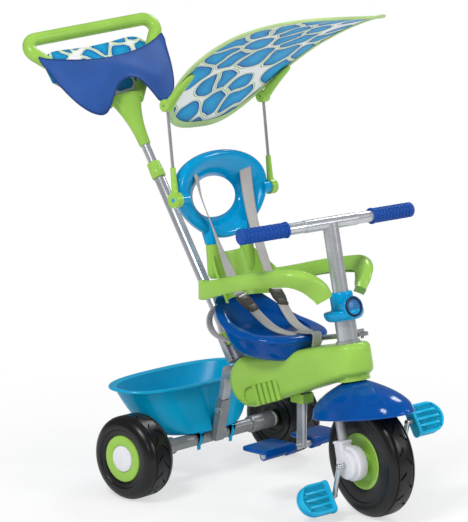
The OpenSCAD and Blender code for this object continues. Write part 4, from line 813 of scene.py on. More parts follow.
def finish_piece(bm: Mesh, name: str, finish: Finish, body: Body, spot: Matrix = IDENTITY,
                 nodes: Sequence[str] = (), sharp: float = 38.0, merge: bool = True,
                 thick: float = 0.0) -> bpy.types.Object:
    """Turns a mesh in millimetres into a finished piece of the trike.

    Args:
        bm: The mesh; it is freed.
        name: The piece's name.
        finish: Its surface.
        body: The body it rides on.
        spot: Frame that the mesh is put in, in millimetres.
        nodes: CAD nodes that it stands for.
        sharp: Angle above which an edge shows.
        merge: Whether seams are merged and faces turned outwards.
        thick: Thickness that a sheet is given, in millimetres.

    Returns:
        The object, at the origin.
    """
    if merge:
        seal(bm)
    bmesh.ops.transform(bm, matrix=Matrix.Scale(MM, 4) @ spot, verts=bm.verts)
    if spot.determinant() < 0:
        bmesh.ops.reverse_faces(bm, faces=bm.faces)
    mesh = bpy.data.meshes.new(name)
    bm.to_mesh(mesh)
    bm.free()
    mesh.shade_smooth()
    mesh.set_sharp_from_angle(angle=math.radians(sharp))
    mesh.materials.append(finish.material())
    piece = bpy.data.objects.new(name, mesh)
    bpy.context.scene.collection.objects.link(piece)
    if thick:
        wall = piece.modifiers.new("wall", "SOLIDIFY")
        wall.thickness, wall.offset = thick * MM, 0.0
    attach(piece, body.value)
    if nodes:
        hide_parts(*nodes)
    LOG.info("made %s on %s", name, body.value)
    return piece


def dress(finish: Finish, *nodes: str) -> None:
    """Puts a finish on CAD nodes whose shape stays.

    Args:
        finish: The surface.
        nodes: The nodes' names.
    """
    for name in nodes:
        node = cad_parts[name]
        node.data.materials.clear()
        node.data.materials.append(finish.material())
        LOG.info("dressed %s", name)


def smooth_copy(name: str, node: str, finish: Finish, body: Body, sharp: float = 38.0,
                shape: Optional[Callable[[Vector], Vector]] = None) -> None:
    """A merged copy of a faceted CAD node, shaded smooth.

    Args:
        name: The new piece's name.
        node: The CAD node it stands for.
        finish: Its surface.
        body: The body it rides on.
        sharp: Angle above which an edge shows.
        shape: Moves each corner, in millimetres, where the copy differs from the node.
    """
    bm = bmesh.new()
    bm.from_mesh(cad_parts[node].data)
    for vert in bm.verts if shape else ():
        vert.co = shape(vert.co / MM) * MM
    bmesh.ops.remove_doubles(bm, verts=bm.verts, dist=0.00002)
    bmesh.ops.dissolve_limit(bm, angle_limit=math.radians(0.6), verts=bm.verts, edges=bm.edges)
    piece = finish_piece(bm, name, finish, body, Matrix.Scale(1 / MM, 4), (node,), sharp, merge=False)
    piece.modifiers.new("even", "WEIGHTED_NORMAL").keep_sharp = True


# Wheels

@dataclass
class Wheel:
    """A tyre with a rounded tread, two grooves and slanted notches."""

    name: str
    node: str
    body: Body
    spot: Matrix
    radius: float
    width: float
    rim: float
    web: Line = ()
    shoulder: float = 19.0
    groove_at: float = 16.5
    groove: Line = ((-1.8, 0.0), (-1.3, 0.5), (-0.7, 2.6), (0.7, 2.6), (1.3, 0.5), (1.8, 0.0))
    slashes: int = 15
    pitch: int = 7
    band: tuple[float, float] = (1.2, 13.5)
    slant: float = 45.0
    notch_edge: float = 0.9
    notch_deep: float = 2.6
    flank: Line = ((0.80, 0.0), (0.74, -0.3), (0.70, -1.6), (0.66, -2.0), (0.62, -1.7), (0.58, -1.9),
                   (0.30, -2.2), (0.12, -3.4), (0.0, -4.6))
    bead: float = 14.0

    def crown(self, y: float) -> float:
        """Radius of the tread at a distance from its middle."""
        over = max(0.0, abs(y) - self.width / 2 + self.shoulder)
        return self.radius - self.shoulder + math.sqrt(max(0.0, self.shoulder ** 2 - over ** 2))

    def profile(self) -> list[tuple[float, float]]:
        """Half of the section from the tread's middle to the rim.

        Returns:
            Pairs of radius and distance out.
        """
        half, bend, at = self.width / 2, self.shoulder, self.groove_at
        top = self.radius - bend
        line = [(self.crown(y), y) for y in (0.0, *(lerp(*self.band, k / 4) for k in range(5)))]
        line += [(self.crown(at + off) - drop, at + off) for off, drop in self.groove]
        arc = [math.radians(degrees) for degrees in range(0, 91, 5)]
        shoulder = [(top + bend * math.cos(a), half - bend + bend * math.sin(a)) for a in arc]
        line += [(r, y) for r, y in shoulder if y > at + 2.4]
        line += [(lerp(self.rim, top, share), half + drop) for share, drop in self.flank]
        return [*line, (self.rim, half - self.bead)]

    def notched(self, face: bmesh.types.BMFace) -> bool:
        """Whether a face of the tread belongs to a notch.

        Args:
            face: The face.

        Returns:
            True for a notch's face.
        """
        middle = face.calc_center_median()
        inside = self.band[0] < abs(middle.y) < self.band[1]
        if not inside or math.hypot(middle.x, middle.z) < self.radius - 8:
            return False
        share = (math.atan2(middle.z, middle.x) % math.tau) / math.tau
        step = int(math.floor(share * self.slashes * self.pitch))
        return step % self.pitch == (0 if middle.y > 0 else self.pitch // 2)

    def build(self) -> None:
        """Makes the tyre with its notched tread."""
        half = self.profile()
        bm = turned(bmesh.new(), [(r, -d) for r, d in reversed(half[1:])] + half, self.slashes * self.pitch)
        seal(bm)
        notches = [face for face in bm.faces if self.notched(face)]
        bmesh.ops.inset_region(bm, faces=notches, thickness=self.notch_edge, depth=-self.notch_deep,
                               use_even_offset=True, use_boundary=True)
        lean = math.tan(math.radians(self.slant)) / self.radius
        for vert in bm.verts:
            vert.co = turn(math.degrees(lean * min(abs(vert.co.y), self.groove_at)), "Y") @ vert.co
        if self.web:
            turned(bm, self.web, 72)
        finish_piece(bm, self.name, TYRE, self.body, self.spot, (self.node,), 32)


@dataclass
class Wheels:
    """The three wheels with their rims, caps and bushes."""

    rear_w: float = 70.0
    rear_bore: float = 45.05
    front_w: float = 56.0
    front_bore: float = 53.55
    front_half: float = 28.0
    front_hole: float = 5.1
    web: Line = ((5.3, 35.2), (16.4, 35.2), (17.4, 34.2), (17.4, 31), (24, 31), (26, 32), (33, 32), (35, 31),
                 (44.85, 32.4), (44.85, 28), (17.1, 28), (17.1, 34.8), (5.3, 34.8), (5.3, 35.2))
    rear_rim: Line = ((5.1, -35), (17, -35), (17, 12), (40, 12), (40, -30), (45, -30), (45, 30.6), (44, 32.4),
                      (42.5, 33), (29, 33), (27.6, 32.4), (25.9, 31), (25.9, 24), (5.1, 24), (5.1, -35))
    rear_cap: Line = ((0, 24), (25.3, 24), (25.4, 31.5), (24.6, 33.2), (23, 33.9), (18, 34.5), (10, 34.9),
                      (0, 35))
    front_face: Line = ((17, 28), (17, 17.5), (18.5, 16), (37, 16), (38.5, 16.4), (47, 23), (48.5, 23.8),
                        (52.6, 24), (53.5, 23.4))

    def rear(self, side: Side) -> None:
        """Builds one rear wheel.

        Args:
            side: The rider's right or left.
        """
        word, body = side.word, side.body("REAR")
        spot = LAYOUT.rear(side.value * LAYOUT.wheel_y)
        web = [(r, -side.value * d) for r, d in self.web]
        Wheel(f"tyre_rear_{word}", f"rear_tyre_{word}", body, spot, LAYOUT.rear_r, self.rear_w,
              self.rear_bore, web).build()
        for name, node, line, finish, sharp in (("rim_rear", "rear_rim", self.rear_rim, GREEN, 30),
                                                ("hub_cap_rear", "rear_cap", self.rear_cap, WHITE, 40)):
            finish_piece(turned(bmesh.new(), line, 72), f"{name}_{word}", finish, body, side.mirrored(spot),
                         (f"{node}_{word}",), sharp)

    def front(self) -> None:
        """Builds the front wheel."""
        spot, hole, half = LAYOUT.wheel(), self.front_hole, self.front_half
        body = Body.FRONT_WHEEL
        Wheel("tyre_front", "front_tyre", body, spot, LAYOUT.front_r, self.front_w, self.front_bore).build()
        near = [(r, -d) for r, d in self.front_face]
        line = [(hole, -half), *near, *reversed(self.front_face), (hole, half), (hole, -half)]
        finish_piece(turned(bmesh.new(), line, 80), "rim_front", GREEN, body, spot, ("front_rim",), 30)

    def build(self) -> None:
        """Builds all three wheels and dresses their hardware."""
        for side in Side:
            self.rear(side)
        self.front()
        dress(WHITE, "rear_bush_right", "rear_bush_left")
        dress(STEEL, "axle_rod", "crank")


# Bucket

@dataclass
class Bucket:
    """The tipping tub over the axle."""

    floor_l: float = 124.0
    floor_w: float = 214.0
    rim_l: float = 164.0
    rim_w: float = 376.0
    floor_behind: float = 44.0
    rim_behind: float = 72.0
    tall: float = 100.0
    floor_z: float = 94.4
    channel: float = 16.0
    channel_gap: float = 16.5
    wall: float = 3.0
    lip: float = 12.0
    sides: int = 96
    levels: int = 9
    hook_y: float = 46.0
    hook_r: float = 13.5
    # Inset, drop below the top, and whether the level belongs to the inner wall
    rolled: tuple = ((9.0, 5.6, False), (3.0, 5.6, False), (0.8, 5.2, False), (0.0, 4.2, False),
                     (0.0, 2.2, False), (1.2, 0.5, False), (3.0, 0.0, True), (5.4, 0.2, True))

    def ring(self, t: float, inset: float, z: float, inside: bool) -> Points:
        """One level of the tub, with the post's channel in its front.

        Args:
            t: Share of the way from floor to rim.
            inset: How far the level is drawn in.
            z: Height.
            inside: Whether it belongs to the inner wall.

        Returns:
            The level's points.
        """
        swell = t ** 0.7
        half_x = lerp(self.floor_l, self.rim_l, swell) / 2 - inset
        half_y = lerp(self.floor_w, self.rim_w, swell) / 2 - inset
        power = lerp(2.2, 2.6, t)
        middle = LAYOUT.rear_x - lerp(self.floor_behind, self.rim_behind, swell)
        wall = self.wall if inside else 0.0
        half = self.channel + wall
        lean = (z - LAYOUT.rear_r) * math.tan(math.radians(LAYOUT.post_lean))
        deep = LAYOUT.rear_x + LAYOUT.post_ahead + lean - self.channel_gap - wall
        start = math.asin(min(1.0, half / half_y) ** (power / 2))
        points = []
        for i in range(self.sides + 1):
            x, y = oval(half_x, half_y, power, start + (math.tau - 2 * start) * i / self.sides)
            points.append(Vector((middle + x, y, z)))
        back = min(deep, points[0].x - 0.2)
        return points + [Vector((back, share * half, z)) for share in (-0.97, -0.7, 0.0, 0.7, 0.97)]

    def build(self) -> None:
        """Makes the tub with its rolled rim and its two hooks."""
        low, top = self.floor_z, self.floor_z + self.tall
        rise = [k / self.levels for k in range(self.levels + 1)]
        rings = [self.ring(0, 10, low, False), self.ring(0, 3, low + 0.4, False)]
        rings += [self.ring(t, self.lip * t, lerp(low + 3, top - 7, t), False) for t in rise]
        rings += [self.ring(1, inset, top - drop, inside) for inset, drop, inside in self.rolled]
        rings += [self.ring(t, self.lip * t + self.wall + 0.6, lerp(low + 5, top - 2.4, t), True)
                  for t in reversed(rise)]
        rings.append(self.ring(0, 9, low + 3, True))
        bm = loft(bmesh.new(), rings)
        seal(bm)
        fill_ends(bm)
        bmesh.ops.triangulate(bm, faces=[f for f in bm.faces if len(f.verts) > 4])
        for side in Side:
            self.hook(bm, side.value * self.hook_y)
        finish_piece(bm, "tub", BUCKET_BLUE, Body.BUCKET, nodes=("bucket",), sharp=34)

    def hook(self, bm: Mesh, y: float) -> None:
        """Adds a pointed clip that holds the axle tube from the front.

        Args:
            bm: The mesh that it is added to.
            y: Its middle.
        """
        arc = [math.radians(a) for a in range(76, -53, -8)]
        inner = [(self.hook_r * math.cos(a), self.hook_r * math.sin(a)) for a in arc]
        reach = [lerp(18.2, 15.0, i / len(arc)) for i in range(len(arc))]
        outer = [(r * math.cos(a), r * math.sin(a)) for r, a in zip(reach, arc)]
        tip = (14.5 * math.cos(math.radians(-56)) + 1, -20.5)
        line = [tip, *reversed(outer), (17.5, 14.2), (8.0, 14.2), *inner]
        plate(bm, line, 10, 0.8, LAYOUT.rear(y) @ turn(90, "X"), 2)


# Body casing and footrest

@dataclass
class Casing:
    """The two casing halves round the beam, with the footrest below."""

    foot_x: float = 238.0
    foot_z: float = 102.0
    inner: float = 26.0
    wide: float = 88.0
    long: float = 54.0
    rib_step: float = 9.2
    rib_w: float = 3.4
    neck_low: float = 138.0
    neck_reach: float = 36.0
    neck_cut: float = 11.0

    def short_neck(self, point: Vector) -> Vector:
        """Draws the neck's lower end up, so that the mudguard's dome can rise under it.

        Args:
            point: A corner of the casing.

        Returns:
            Where the corner goes.
        """
        local = LAYOUT.head().inverted() @ point
        if local.z > self.neck_low + 1 or math.hypot(local.x, local.y) > self.neck_reach:
            return point
        return LAYOUT.head() @ (local + Vector((0, 0, self.neck_cut)))

    def build(self) -> None:
        """Builds the casing, its screws and the footrest."""
        for side in Side:
            word = side.word
            smooth_copy(f"casing_{word}", f"body_cover_{word}", GREEN, Body.CHASSIS, 32, self.short_neck)
        dress(STEEL, "casing_screws")
        dress(GREEN, "footrest_socket")
        dress(SILVER, "footrest_frame")
        for side in Side:
            self.foot(side)

    def foot(self, side: Side) -> None:
        """Makes one folding foot plate with its barrel and ribs.

        Args:
            side: The rider's right or left.
        """
        bm = bmesh.new()
        low, high = self.inner, self.inner + self.wide
        outline = round_outline([(-self.long, low, 7), (7, low, 4), (7, high, 8), (-self.long, high, 10)])
        plate(bm, outline, 8.6, 4.0, place(0, 0, 6.6), 4)
        rod(bm, Vector((0, low + 0.2, 0)), Vector((0, low + 22, 0)), 11, 32)
        rod(bm, Vector((0, low + 20, 0)), Vector((0, high - 3, 0)), 9, 28)
        for x in (8 - self.long + k * self.rib_step for k in range(5)):
            block(bm, (x, low + 12, 9.6), (x + self.rib_w, high - 12, 11.2), 0.7, segments=2)
        spot = side.mirrored(place(LAYOUT.rear_x + self.foot_x, 0, self.foot_z))
        finish_piece(bm, f"foot_plate_moulding_{side.word}", NAVY, side.body("FOOT"), spot,
                     (f"foot_plate_{side.word}",), 34)


# Steering

@dataclass
class Steering:
    """Mudguard, fork caps, grips, collar, badge and pedals."""

    guard_l: float = 264.0
    guard_w: float = 134.0
    guard_neck: float = 36.0
    guard_low: float = 84.0
    guard_top: float = 148.2
    guard_levels: int = 18
    bar_up: float = 446.0
    bar_mid: float = 60.0
    bar_end: float = 139.0
    grip_l: float = 102.0
    grip_r: float = 13.3
    grip_sides: int = 48
    throw: float = 62.0
    crank_turn: float = 28.0
    pedal_y: float = 84.0
    pedal_turn: float = 68.0
    cap: Line = ((5.2, 30), (28, 30), (31.5, 31), (33, 34), (33, 47.6), (32, 49.4), (29.6, 50.2), (28.2, 51),
                 (28, 52), (28, 57.6), (27, 60.2), (24.6, 61.6), (20, 62), (5.2, 62), (5.2, 30))
    cup: Line = ((20.1, 262), (26, 262), (30.6, 263.4), (34.6, 266.6), (37, 271), (38, 275.6), (37.8, 279),
                 (36.6, 281), (34, 281.8), (26, 282.2), (23.4, 283.4), (22.3, 286), (22, 290), (22, 311),
                 (21.4, 314), (19.6, 316), (15.1, 316), (15.1, 262))
    barrel: Line = ((0, -24), (20.2, -24), (20.8, -6), (21, 1.2), (20.6, 2.6), (19.6, 3.2), (19.0, 2.6),
                    (18.8, 0), (0, 0))
    badge_rim: Line = ((14.2, -2), (18.7, -2), (18.7, 3.4), (18.2, 4.4), (16.8, 4.9), (15.4, 4.6),
                       (14.4, 3.6), (14.2, 2.2), (14.2, -2))
    badge_face: Line = ((0, -2), (14.1, -2), (14.1, 2.6), (12.6, 3.0), (12.2, 3.5), (11.3, 3.5), (10.9, 3.0),
                        (4, 3.5), (0, 3.6))

    def guard_ring(self, t: float, inset: float, up: float = 0.0) -> Points:
        """Level of the mudguard's dome.

        Args:
            t: Share of the way from its rim to its neck.
            inset: How far the level is drawn in.
            up: How far it is moved up.

        Returns:
            The level's points.
        """
        share = math.cos(math.pi / 2 * t) ** 1.9 if t < 1 else 0.0
        height = lerp(self.guard_low, self.guard_top, math.sin(math.pi / 2 * t)) - inset * t + up
        half_x = lerp(self.guard_neck, self.guard_l, share) / 2 - inset
        half_y = lerp(self.guard_neck, self.guard_w, share) / 2 - inset
        points = [oval(half_x, half_y, 2.15, a) for a in circle(96)]
        return [Vector((x + 10 * share, y, height)) for x, y in points]

    def mudguard(self) -> None:
        """Makes the dome with its rolled rim."""
        rise = [k / self.guard_levels for k in range(self.guard_levels + 1)]
        foot = self.guard_ring(0, 1.0, -1.2)
        rim = [foot, self.guard_ring(0, 0.0), self.guard_ring(0, 0.2, 2.4), self.guard_ring(0.02, 2.2, 5.0)]
        outer = [self.guard_ring(t, 0.0) for t in rise[3:]]
        inner = [self.guard_ring(t, 3.0) for t in reversed(rise)]
        bm = loft(bmesh.new(), [*rim, *outer, *inner, self.guard_ring(0, 2.4, -1.2), foot])
        finish_piece(bm, "mudguard_dome", NAVY, Body.STEERING, LAYOUT.steered(), ("mudguard",), 60)

    def fork_cap(self, side: Side) -> None:
        """Makes a stepped white cap with the socket of a fork leg.

        Args:
            side: The rider's right or left.
        """
        bm = turned(bmesh.new(), self.cap, 72)
        bmesh.ops.transform(bm, matrix=place(LAYOUT.offset, 0, 0), verts=bm.verts)
        block(bm, (-12.6, 35.2, -4), (12.6, 59.8, 43.6), 3.6)
        block(bm, (-14, 34.4, 38.6), (14, 60.4, 43.9), 1.8)
        finish_piece(bm, f"fork_end_cap_{side.word}", WHITE, Body.STEERING, side.mirrored(LAYOUT.steered()),
                     (f"fork_cap_{side.word}",), 34)

    def grip(self, side: Side) -> None:
        """Makes a soft grip with rows of raised blocks and a flange.

        Args:
            side: The rider's right or left.
        """
        start, end, r, sides = self.bar_end - self.grip_l, self.bar_end, self.grip_r, self.grip_sides
        rows = [start + 4 + 8.2 * k for k in range(11)]
        line = [(11.1, start), (15.2, start), (15.5, start + 0.6), (15.5, start + 3.4), (15.0, start + 4)]
        for a in rows:
            line += [(r, a + 0.4), (r, a + 1.4), (r, a + 6.6), (r, a + 7.6)]
        line += [(14.5, end - 5), (14.3, end - 2.4), (12.6, end - 0.5), (9, end), (0, end)]
        bm = turned(bmesh.new(), line, sides, "Z")
        seal(bm)
        raised = []
        for face in bm.faces:
            c = face.calc_center_median()
            step = int(math.floor((math.atan2(c.y, c.x) % math.tau) / math.tau * sides))
            for k, a in enumerate(rows):
                in_row = a + 1.4 < c.z < a + 6.6 and abs(math.hypot(c.x, c.y) - r) < 0.5
                if in_row and (step + 2 * (k % 2)) % 4 != 0:
                    raised.append(face)
        bmesh.ops.inset_region(bm, faces=raised, thickness=0.35, depth=1.2, use_even_offset=True,
                               use_boundary=True)
        tilt = place(0, -self.bar_mid, self.bar_up) @ turn(-4, "Z") @ turn(90, "X")
        spot = LAYOUT.steered() @ (tilt if side is Side.RIGHT else MIRROR @ tilt)
        finish_piece(bm, f"hand_grip_{side.word}", GRIP, Body.STEERING, spot, (f"grip_{side.word}",), 30)

    def collar(self) -> None:
        """Makes the collar and its plain round badge."""
        on_badge = place(32, 0, 286) @ turn(84, "Y")
        bm = turned(bmesh.new(), self.cup, 80, "Z")
        seal(bm)
        join(bm, turned(bmesh.new(), self.barrel, 64, "Z"), on_badge)
        steered = LAYOUT.steered()
        finish_piece(bm, "column_collar", TURQUOISE, Body.STEERING, steered, ("collar",), 44, merge=False)
        bm = turned(bmesh.new(), self.badge_rim, 64, "Z")
        finish_piece(bm, "badge_rim", BADGE_RING, Body.STEERING, steered @ on_badge, ("badge",), 36)
        bm = turned(bmesh.new(), self.badge_face, 64, "Z")
        finish_piece(bm, "badge_plain_face", BADGE_FACE, Body.STEERING, steered @ on_badge, sharp=30)

    def tongue(self, half: float, low: float, middle: float) -> list[tuple[float, float]]:
        """Outline of a pedal, with a straight inner end and a round outer end.

        Args:
            half: Half its width.
            low: Where its inner end is.
            middle: Where the middle of its round end is.

        Returns:
            The outline's points.
        """
        angles = [math.radians(degrees) for degrees in range(0, 181, 10)]
        arc = [(half * math.cos(a), middle + half * math.sin(a)) for a in angles]
        return [(1 - half, low), (half - 1, low), (half, low + 3), *arc, (-half, low + 3)]

    def tread(self, bm: Mesh, face: int) -> None:
        """Adds the raised rim and the three ribs on one face of a pedal.

        Args:
            bm: The mesh that they are added to.
            face: One for the upper face, minus one for the lower.
        """
        outer, inner = self.tongue(30, 5, 40), self.tongue(24.6, 10, 40)
        crest = [(x * 0.96, y * 0.985 + 0.3) for x, y in outer]
        inner_crest = [(x * 1.04, y * 1.01 - 0.4) for x, y in inner]
        rims = []
        for line, z in ((outer, 2.0), (outer, 7.4), (crest, 9.2),
                        (inner_crest, 9.2), (inner, 7.6), (inner, 2.0)):
            verts = [bm.verts.new((x, y, face * z)) for x, y in line]
            rims.append([bm.edges.new(pair) for pair in zip(verts, [*verts[1:], verts[0]])])
        for a, b in zip(rims, [*rims[1:], rims[0]]):
            bmesh.ops.bridge_loops(bm, edges=[*a, *b])
        low, high = sorted((face * 3, face * 9.3))
        for x in (-13.2, 0, 13.2):
            block(bm, (x - 3.3, 9, low), (x + 3.3, 61 - abs(x) * 0.35, high), 1.5)

    def pedal(self, side: Side) -> None:
        """Makes a ribbed pedal with a round outer end and a flared inner end.

        Args:
            side: The rider's right or left.
        """
        bm = bmesh.new()
        plate(bm, self.tongue(28, 3, 41), 9.0, 2.0)
        ring = round_outline([(-32, -12, 10), (32, -12, 10), (32, 12, 10), (-32, 12, 10)])
        plate(bm, ring, 6.5, 2.2, place(0, 3.3, 0) @ turn(90, "X"))
        for face in (-1, 1):
            self.tread(bm, face)
        reach = math.radians(self.crank_turn)
        ahead, up = self.throw * math.sin(reach), self.throw * math.cos(reach)
        spot = LAYOUT.wheel() @ place(side.value * ahead, side.value * self.pedal_y, side.value * up)
        finish_piece(bm, f"pedal_moulding_{side.word}", PEDAL_BLUE, side.body("PEDAL"),
                     side.mirrored(spot) @ turn(self.pedal_turn, "Y"), (f"pedal_{side.word}",), 36)

    def build(self) -> None:
        """Builds the steering's pieces and dresses its tubes."""
        self.mudguard()
        self.collar()
        for side in Side:
            self.fork_cap(side)
            self.grip(side)
            self.pedal(side)
        dress(SILVER, "fork")
        dress(STEEL, "steer_link")
        dress(COLUMN, "column_tube")
        dress(BAR, "handlebar")


# Seat, safety bar, headrest and harness

@dataclass
class Seat:
    """Seat pan, back, safety bar arms, headrest and harness."""

    pan_x: float = 159.0
    pan_l: float = 214.0
    pan_w: float = 204.0
    rim_front: float = 323.0
    rim_back: float = 394.0
    pan_sides: int = 96
    pan_levels: int = 12
    # Length, width, place ahead of the rear axle and height of the pan's two bases
    skirt: tuple[float, float, float, float] = (120, 112, 178, 272)
    bowl: tuple[float, float, float, float] = (120, 116, 178, 320)
    bowl_floor: float = 319.4
    # Inset and drop of each level of the rolled rim
    roll: Line = ((1.6, -11.5), (1.4, -9.0), (2.2, -6.4), (4.4, -3.8), (8.2, -1.7), (13.2, -0.4), (19.0, 0.0),
                  (26.0, -0.5), (33.0, -1.8))
    back_x: float = 165.0
    back_span: float = 54.0
    back_low: float = 374.0
    back_rise: float = 78.0
    back_low_r: float = 88.0
    back_high_r: float = 114.0
    back_edge: Line = ((0, 459), (14, 461), (23, 466), (31, 458), (42, 438), (54, 418))
    hinge_x: float = 70.0
    hinge_y: float = 97.0
    hinge_r: float = 9.0
    socket_y: float = 48.0
    socket: Line = ((10.3, 0), (12.6, 0), (13.4, -0.8), (13.5, -2), (14.2, -30), (15.4, -52), (15.0, -60),
                    (11, -66), (0, -67), (0, -36), (10.3, -36), (10.3, 0))
    # Ahead, out, up and height of the section at points along a safety bar arm
    arm_points: Line = ((68, 97, 398, 38), (80, 101, 399.6, 38), (92, 104, 402, 37), (130, 110, 413, 33.5),
                        (185, 114, 429, 31), (245, 114, 442, 32), (294, 105, 449, 36), (320, 84, 441, 40),
                        (332, 65, 425, 40), (335, 53, 410, 36))
    arm_bank: float = 34.0
    # Share from the opening to the outer edge, and depth as a share, round the headrest's section
    ring_section: Line = ((0, -1.2), (0.15, -1.35), (0.5, -1.2), (0.85, -0.9), (0.98, -0.5), (1, -0.2),
                          (0.96, 0.04), (0.86, 0.16), (0.68, 0.12), (0.46, -0.12), (0.22, -0.5),
                          (0.06, -0.88), (0, -1.2))
    ring_deep: float = 26.0
    # Half width, half height and middle of the headrest's opening and of its outer edge
    ring_inner: tuple[float, float, float] = (63, 40, 90)
    ring_outer: tuple[float, float, float] = (125, 86, 94)
    ring_flare: float = 0.2
    pivot_up: float = 95.0
    shoulder_points: Line = ((15, 70, 636), (23, 70, 626), (38, 66, 568), (60, 58, 512), (89, 54, 450),
                             (122, 50, 388))
    lap_points: Line = ((152, 42, 362), (160, 39.6, 354), (172, 36.5, 344), (188, 32.5, 333), (206, 28, 326),
                        (224, 21.6, 323), (238, 17, 322.4))
    tail_points: Line = ((80, -64, 366), (68, -68, 353), (61, -69, 338), (62, -69, 322), (72, -68, 309),
                         (90, -64, 300), (108, -56, 296))
    crotch_points: Line = ((226, 0, 324.1), (246, 0, 324.6), (258, 0, 326), (266, 0, 327.5),
                           (271.5, 0, 327.6), (275.2, 0, 324), (275, 0, 314), (273, 0, 302))

    def pan_rim(self, a: float) -> float:
        """Height of the pan's rim at an angle from its front."""
        return lerp(self.rim_front, self.rim_back, ((1 - math.cos(a)) / 2) ** 3.4)

    def pan_ring(self, t: float, inset: float, base: tuple[float, float, float, float]) -> Points:
        """Level of the seat pan between a base and its rim.

        Args:
            t: Share of the way to the rim.
            inset: How far it is drawn in.
            base: Length, width, place and height of the base.

        Returns:
            The level's points.
        """
        length, width, ahead, height = base
        flare = t ** 0.5
        half_x = lerp(length, self.pan_l, flare) / 2 - inset
        half_y = lerp(width, self.pan_w, flare) / 2 - inset
        middle = LAYOUT.rear_x + lerp(ahead, self.pan_x, flare)
        points = []
        for a in circle(self.pan_sides):
            x, y = oval(half_x, half_y, lerp(2.2, 2.3, t), a)
            points.append(Vector((middle + x, y, lerp(height, self.pan_rim(a), t))))
        return points

    def pan_roll(self, inset: float, drop: float) -> Points:
        """Level of the pan's rolled edge, broad at the sides and front and narrow at the back.

        Args:
            inset: How far it is drawn in at the front.
            drop: How far it is moved up at the front.

        Returns:
            The level's points.
        """
        points = []
        for a in circle(self.pan_sides):
            share = lerp(1.0, 0.34, ((1 - math.cos(a)) / 2) ** 1.6)
            x, y = oval(self.pan_l / 2 - inset * share, self.pan_w / 2 - inset * share, 2.3, a)
            points.append(Vector((LAYOUT.rear_x + self.pan_x + x, y, self.pan_rim(a) + drop * share)))
        return points

    def pan(self) -> None:
        """Makes the seat bowl with its skirt and broad rolled rim."""
        rise = [k / self.pan_levels for k in range(self.pan_levels + 1)]
        rings = [self.pan_ring(0, 8, self.skirt)]
        rings += [self.pan_ring(t ** 1.6, 0.0, self.skirt) for t in rise[:11]]
        rings += [self.pan_roll(inset, drop) for inset, drop in self.roll]
        rings += [self.pan_ring(t, lerp(4.6, 14.0, t ** 2), self.bowl) for t in reversed(rise[:6])]
        middle = Vector((LAYOUT.rear_x + self.bowl[2], 0, self.bowl_floor))
        base = self.pan_ring(0, 4.6, self.bowl)
        rings += [[p.lerp(middle, share) for p in base] for share in (0.3, 0.7, 1.0)]
        finish_piece(loft(bmesh.new(), rings), "seat_bowl", NAVY, Body.CHASSIS, nodes=("seat_pan",), sharp=70)

    def back_top(self, degrees: float) -> float:
        """Height of the back's edge.

        Args:
            degrees: Angle from the back's middle.

        Returns:
            The height.
        """
        line = smooth_line(self.back_edge, 6)
        for (a, low), (b, high) in zip(line, line[1:]):
            if a <= abs(degrees) <= b:
                return lerp(low, high, (abs(degrees) - a) / (b - a))
        return line[-1][1]

    def back(self) -> None:
        """Makes the curved back panel with its two sockets and the hinge lugs of the arms."""
        rings = []
        low, near = self.back_low, self.back_low_r
        for i in range(73):
            degrees = lerp(-self.back_span, self.back_span, i / 72)
            a, top = math.radians(180 + degrees), self.back_top(degrees)
            far = lerp(near, self.back_high_r, (top - low) / self.back_rise)
            mid_r, mid_z = lerp(near, far, 0.5), lerp(low, top, 0.5)
            section = [(near, low), (near + 5, low), (mid_r + 5, mid_z), (far + 5, top - 3.4),
                       (far + 4.2, top - 1.0), (far + 2.5, top), (far + 0.8, top - 1.0), (far, top - 3.4),
                       (mid_r, mid_z)]
            rings.append([Vector((LAYOUT.rear_x + self.back_x + r * math.cos(a), r * math.sin(a), z))
                          for r, z in section])
        bm = loft(bmesh.new(), rings)
        seal(bm)
        fill_ends(bm)
        for side in Side:
            socket = turned(bmesh.new(), self.socket, 40, "Z")
            join(bm, socket, LAYOUT.headrest() @ place(0, side.value * self.socket_y, 0))
            hinge = place(LAYOUT.rear_x + self.hinge_x, side.value * self.hinge_y, 0)
            rod(bm, hinge @ Vector((0, 0, 393.2)), hinge @ Vector((0, 0, 402.8)), self.hinge_r, 32)
            rod(bm, hinge @ Vector((0, 0, 379)), hinge @ Vector((0, 0, 417)), 3.5, 20)
            block(bm, (0, -8.6, 393.4), (37, 8.6, 402.6), 1.2, hinge @ turn(-side.value * 46, "Z"))
        finish_piece(bm, "seat_back_panel", GREEN, Body.CHASSIS, nodes=("seat_back",), sharp=50, merge=False)

    def arm(self, side: Side) -> None:
        """Makes a safety bar arm as an open channel with rounded edges.

        Args:
            side: The rider's right or left.
        """
        line = smooth_line(self.arm_points, 8)
        spots = [Vector((LAYOUT.rear_x + x, y, z)) for x, y, z, _ in line]
        rings = []
        for i, spot in enumerate(spots):
            run = heading(spots, i)
            share = i / (len(line) - 1)
            ease = held((share - 0.25) / 0.5)
            bank = math.radians(self.arm_bank) * ease * ease * (3 - 2 * ease)
            flat = Vector((-run.y, run.x, 0)).normalized()
            lift = run.cross(flat)
            out = flat * math.cos(bank) - lift * math.sin(bank)
            up = flat * math.sin(bank) + lift * math.cos(bank)
            h, w = line[i][3] / 2 * 0.92, lerp(7.5, 10.5, ease)
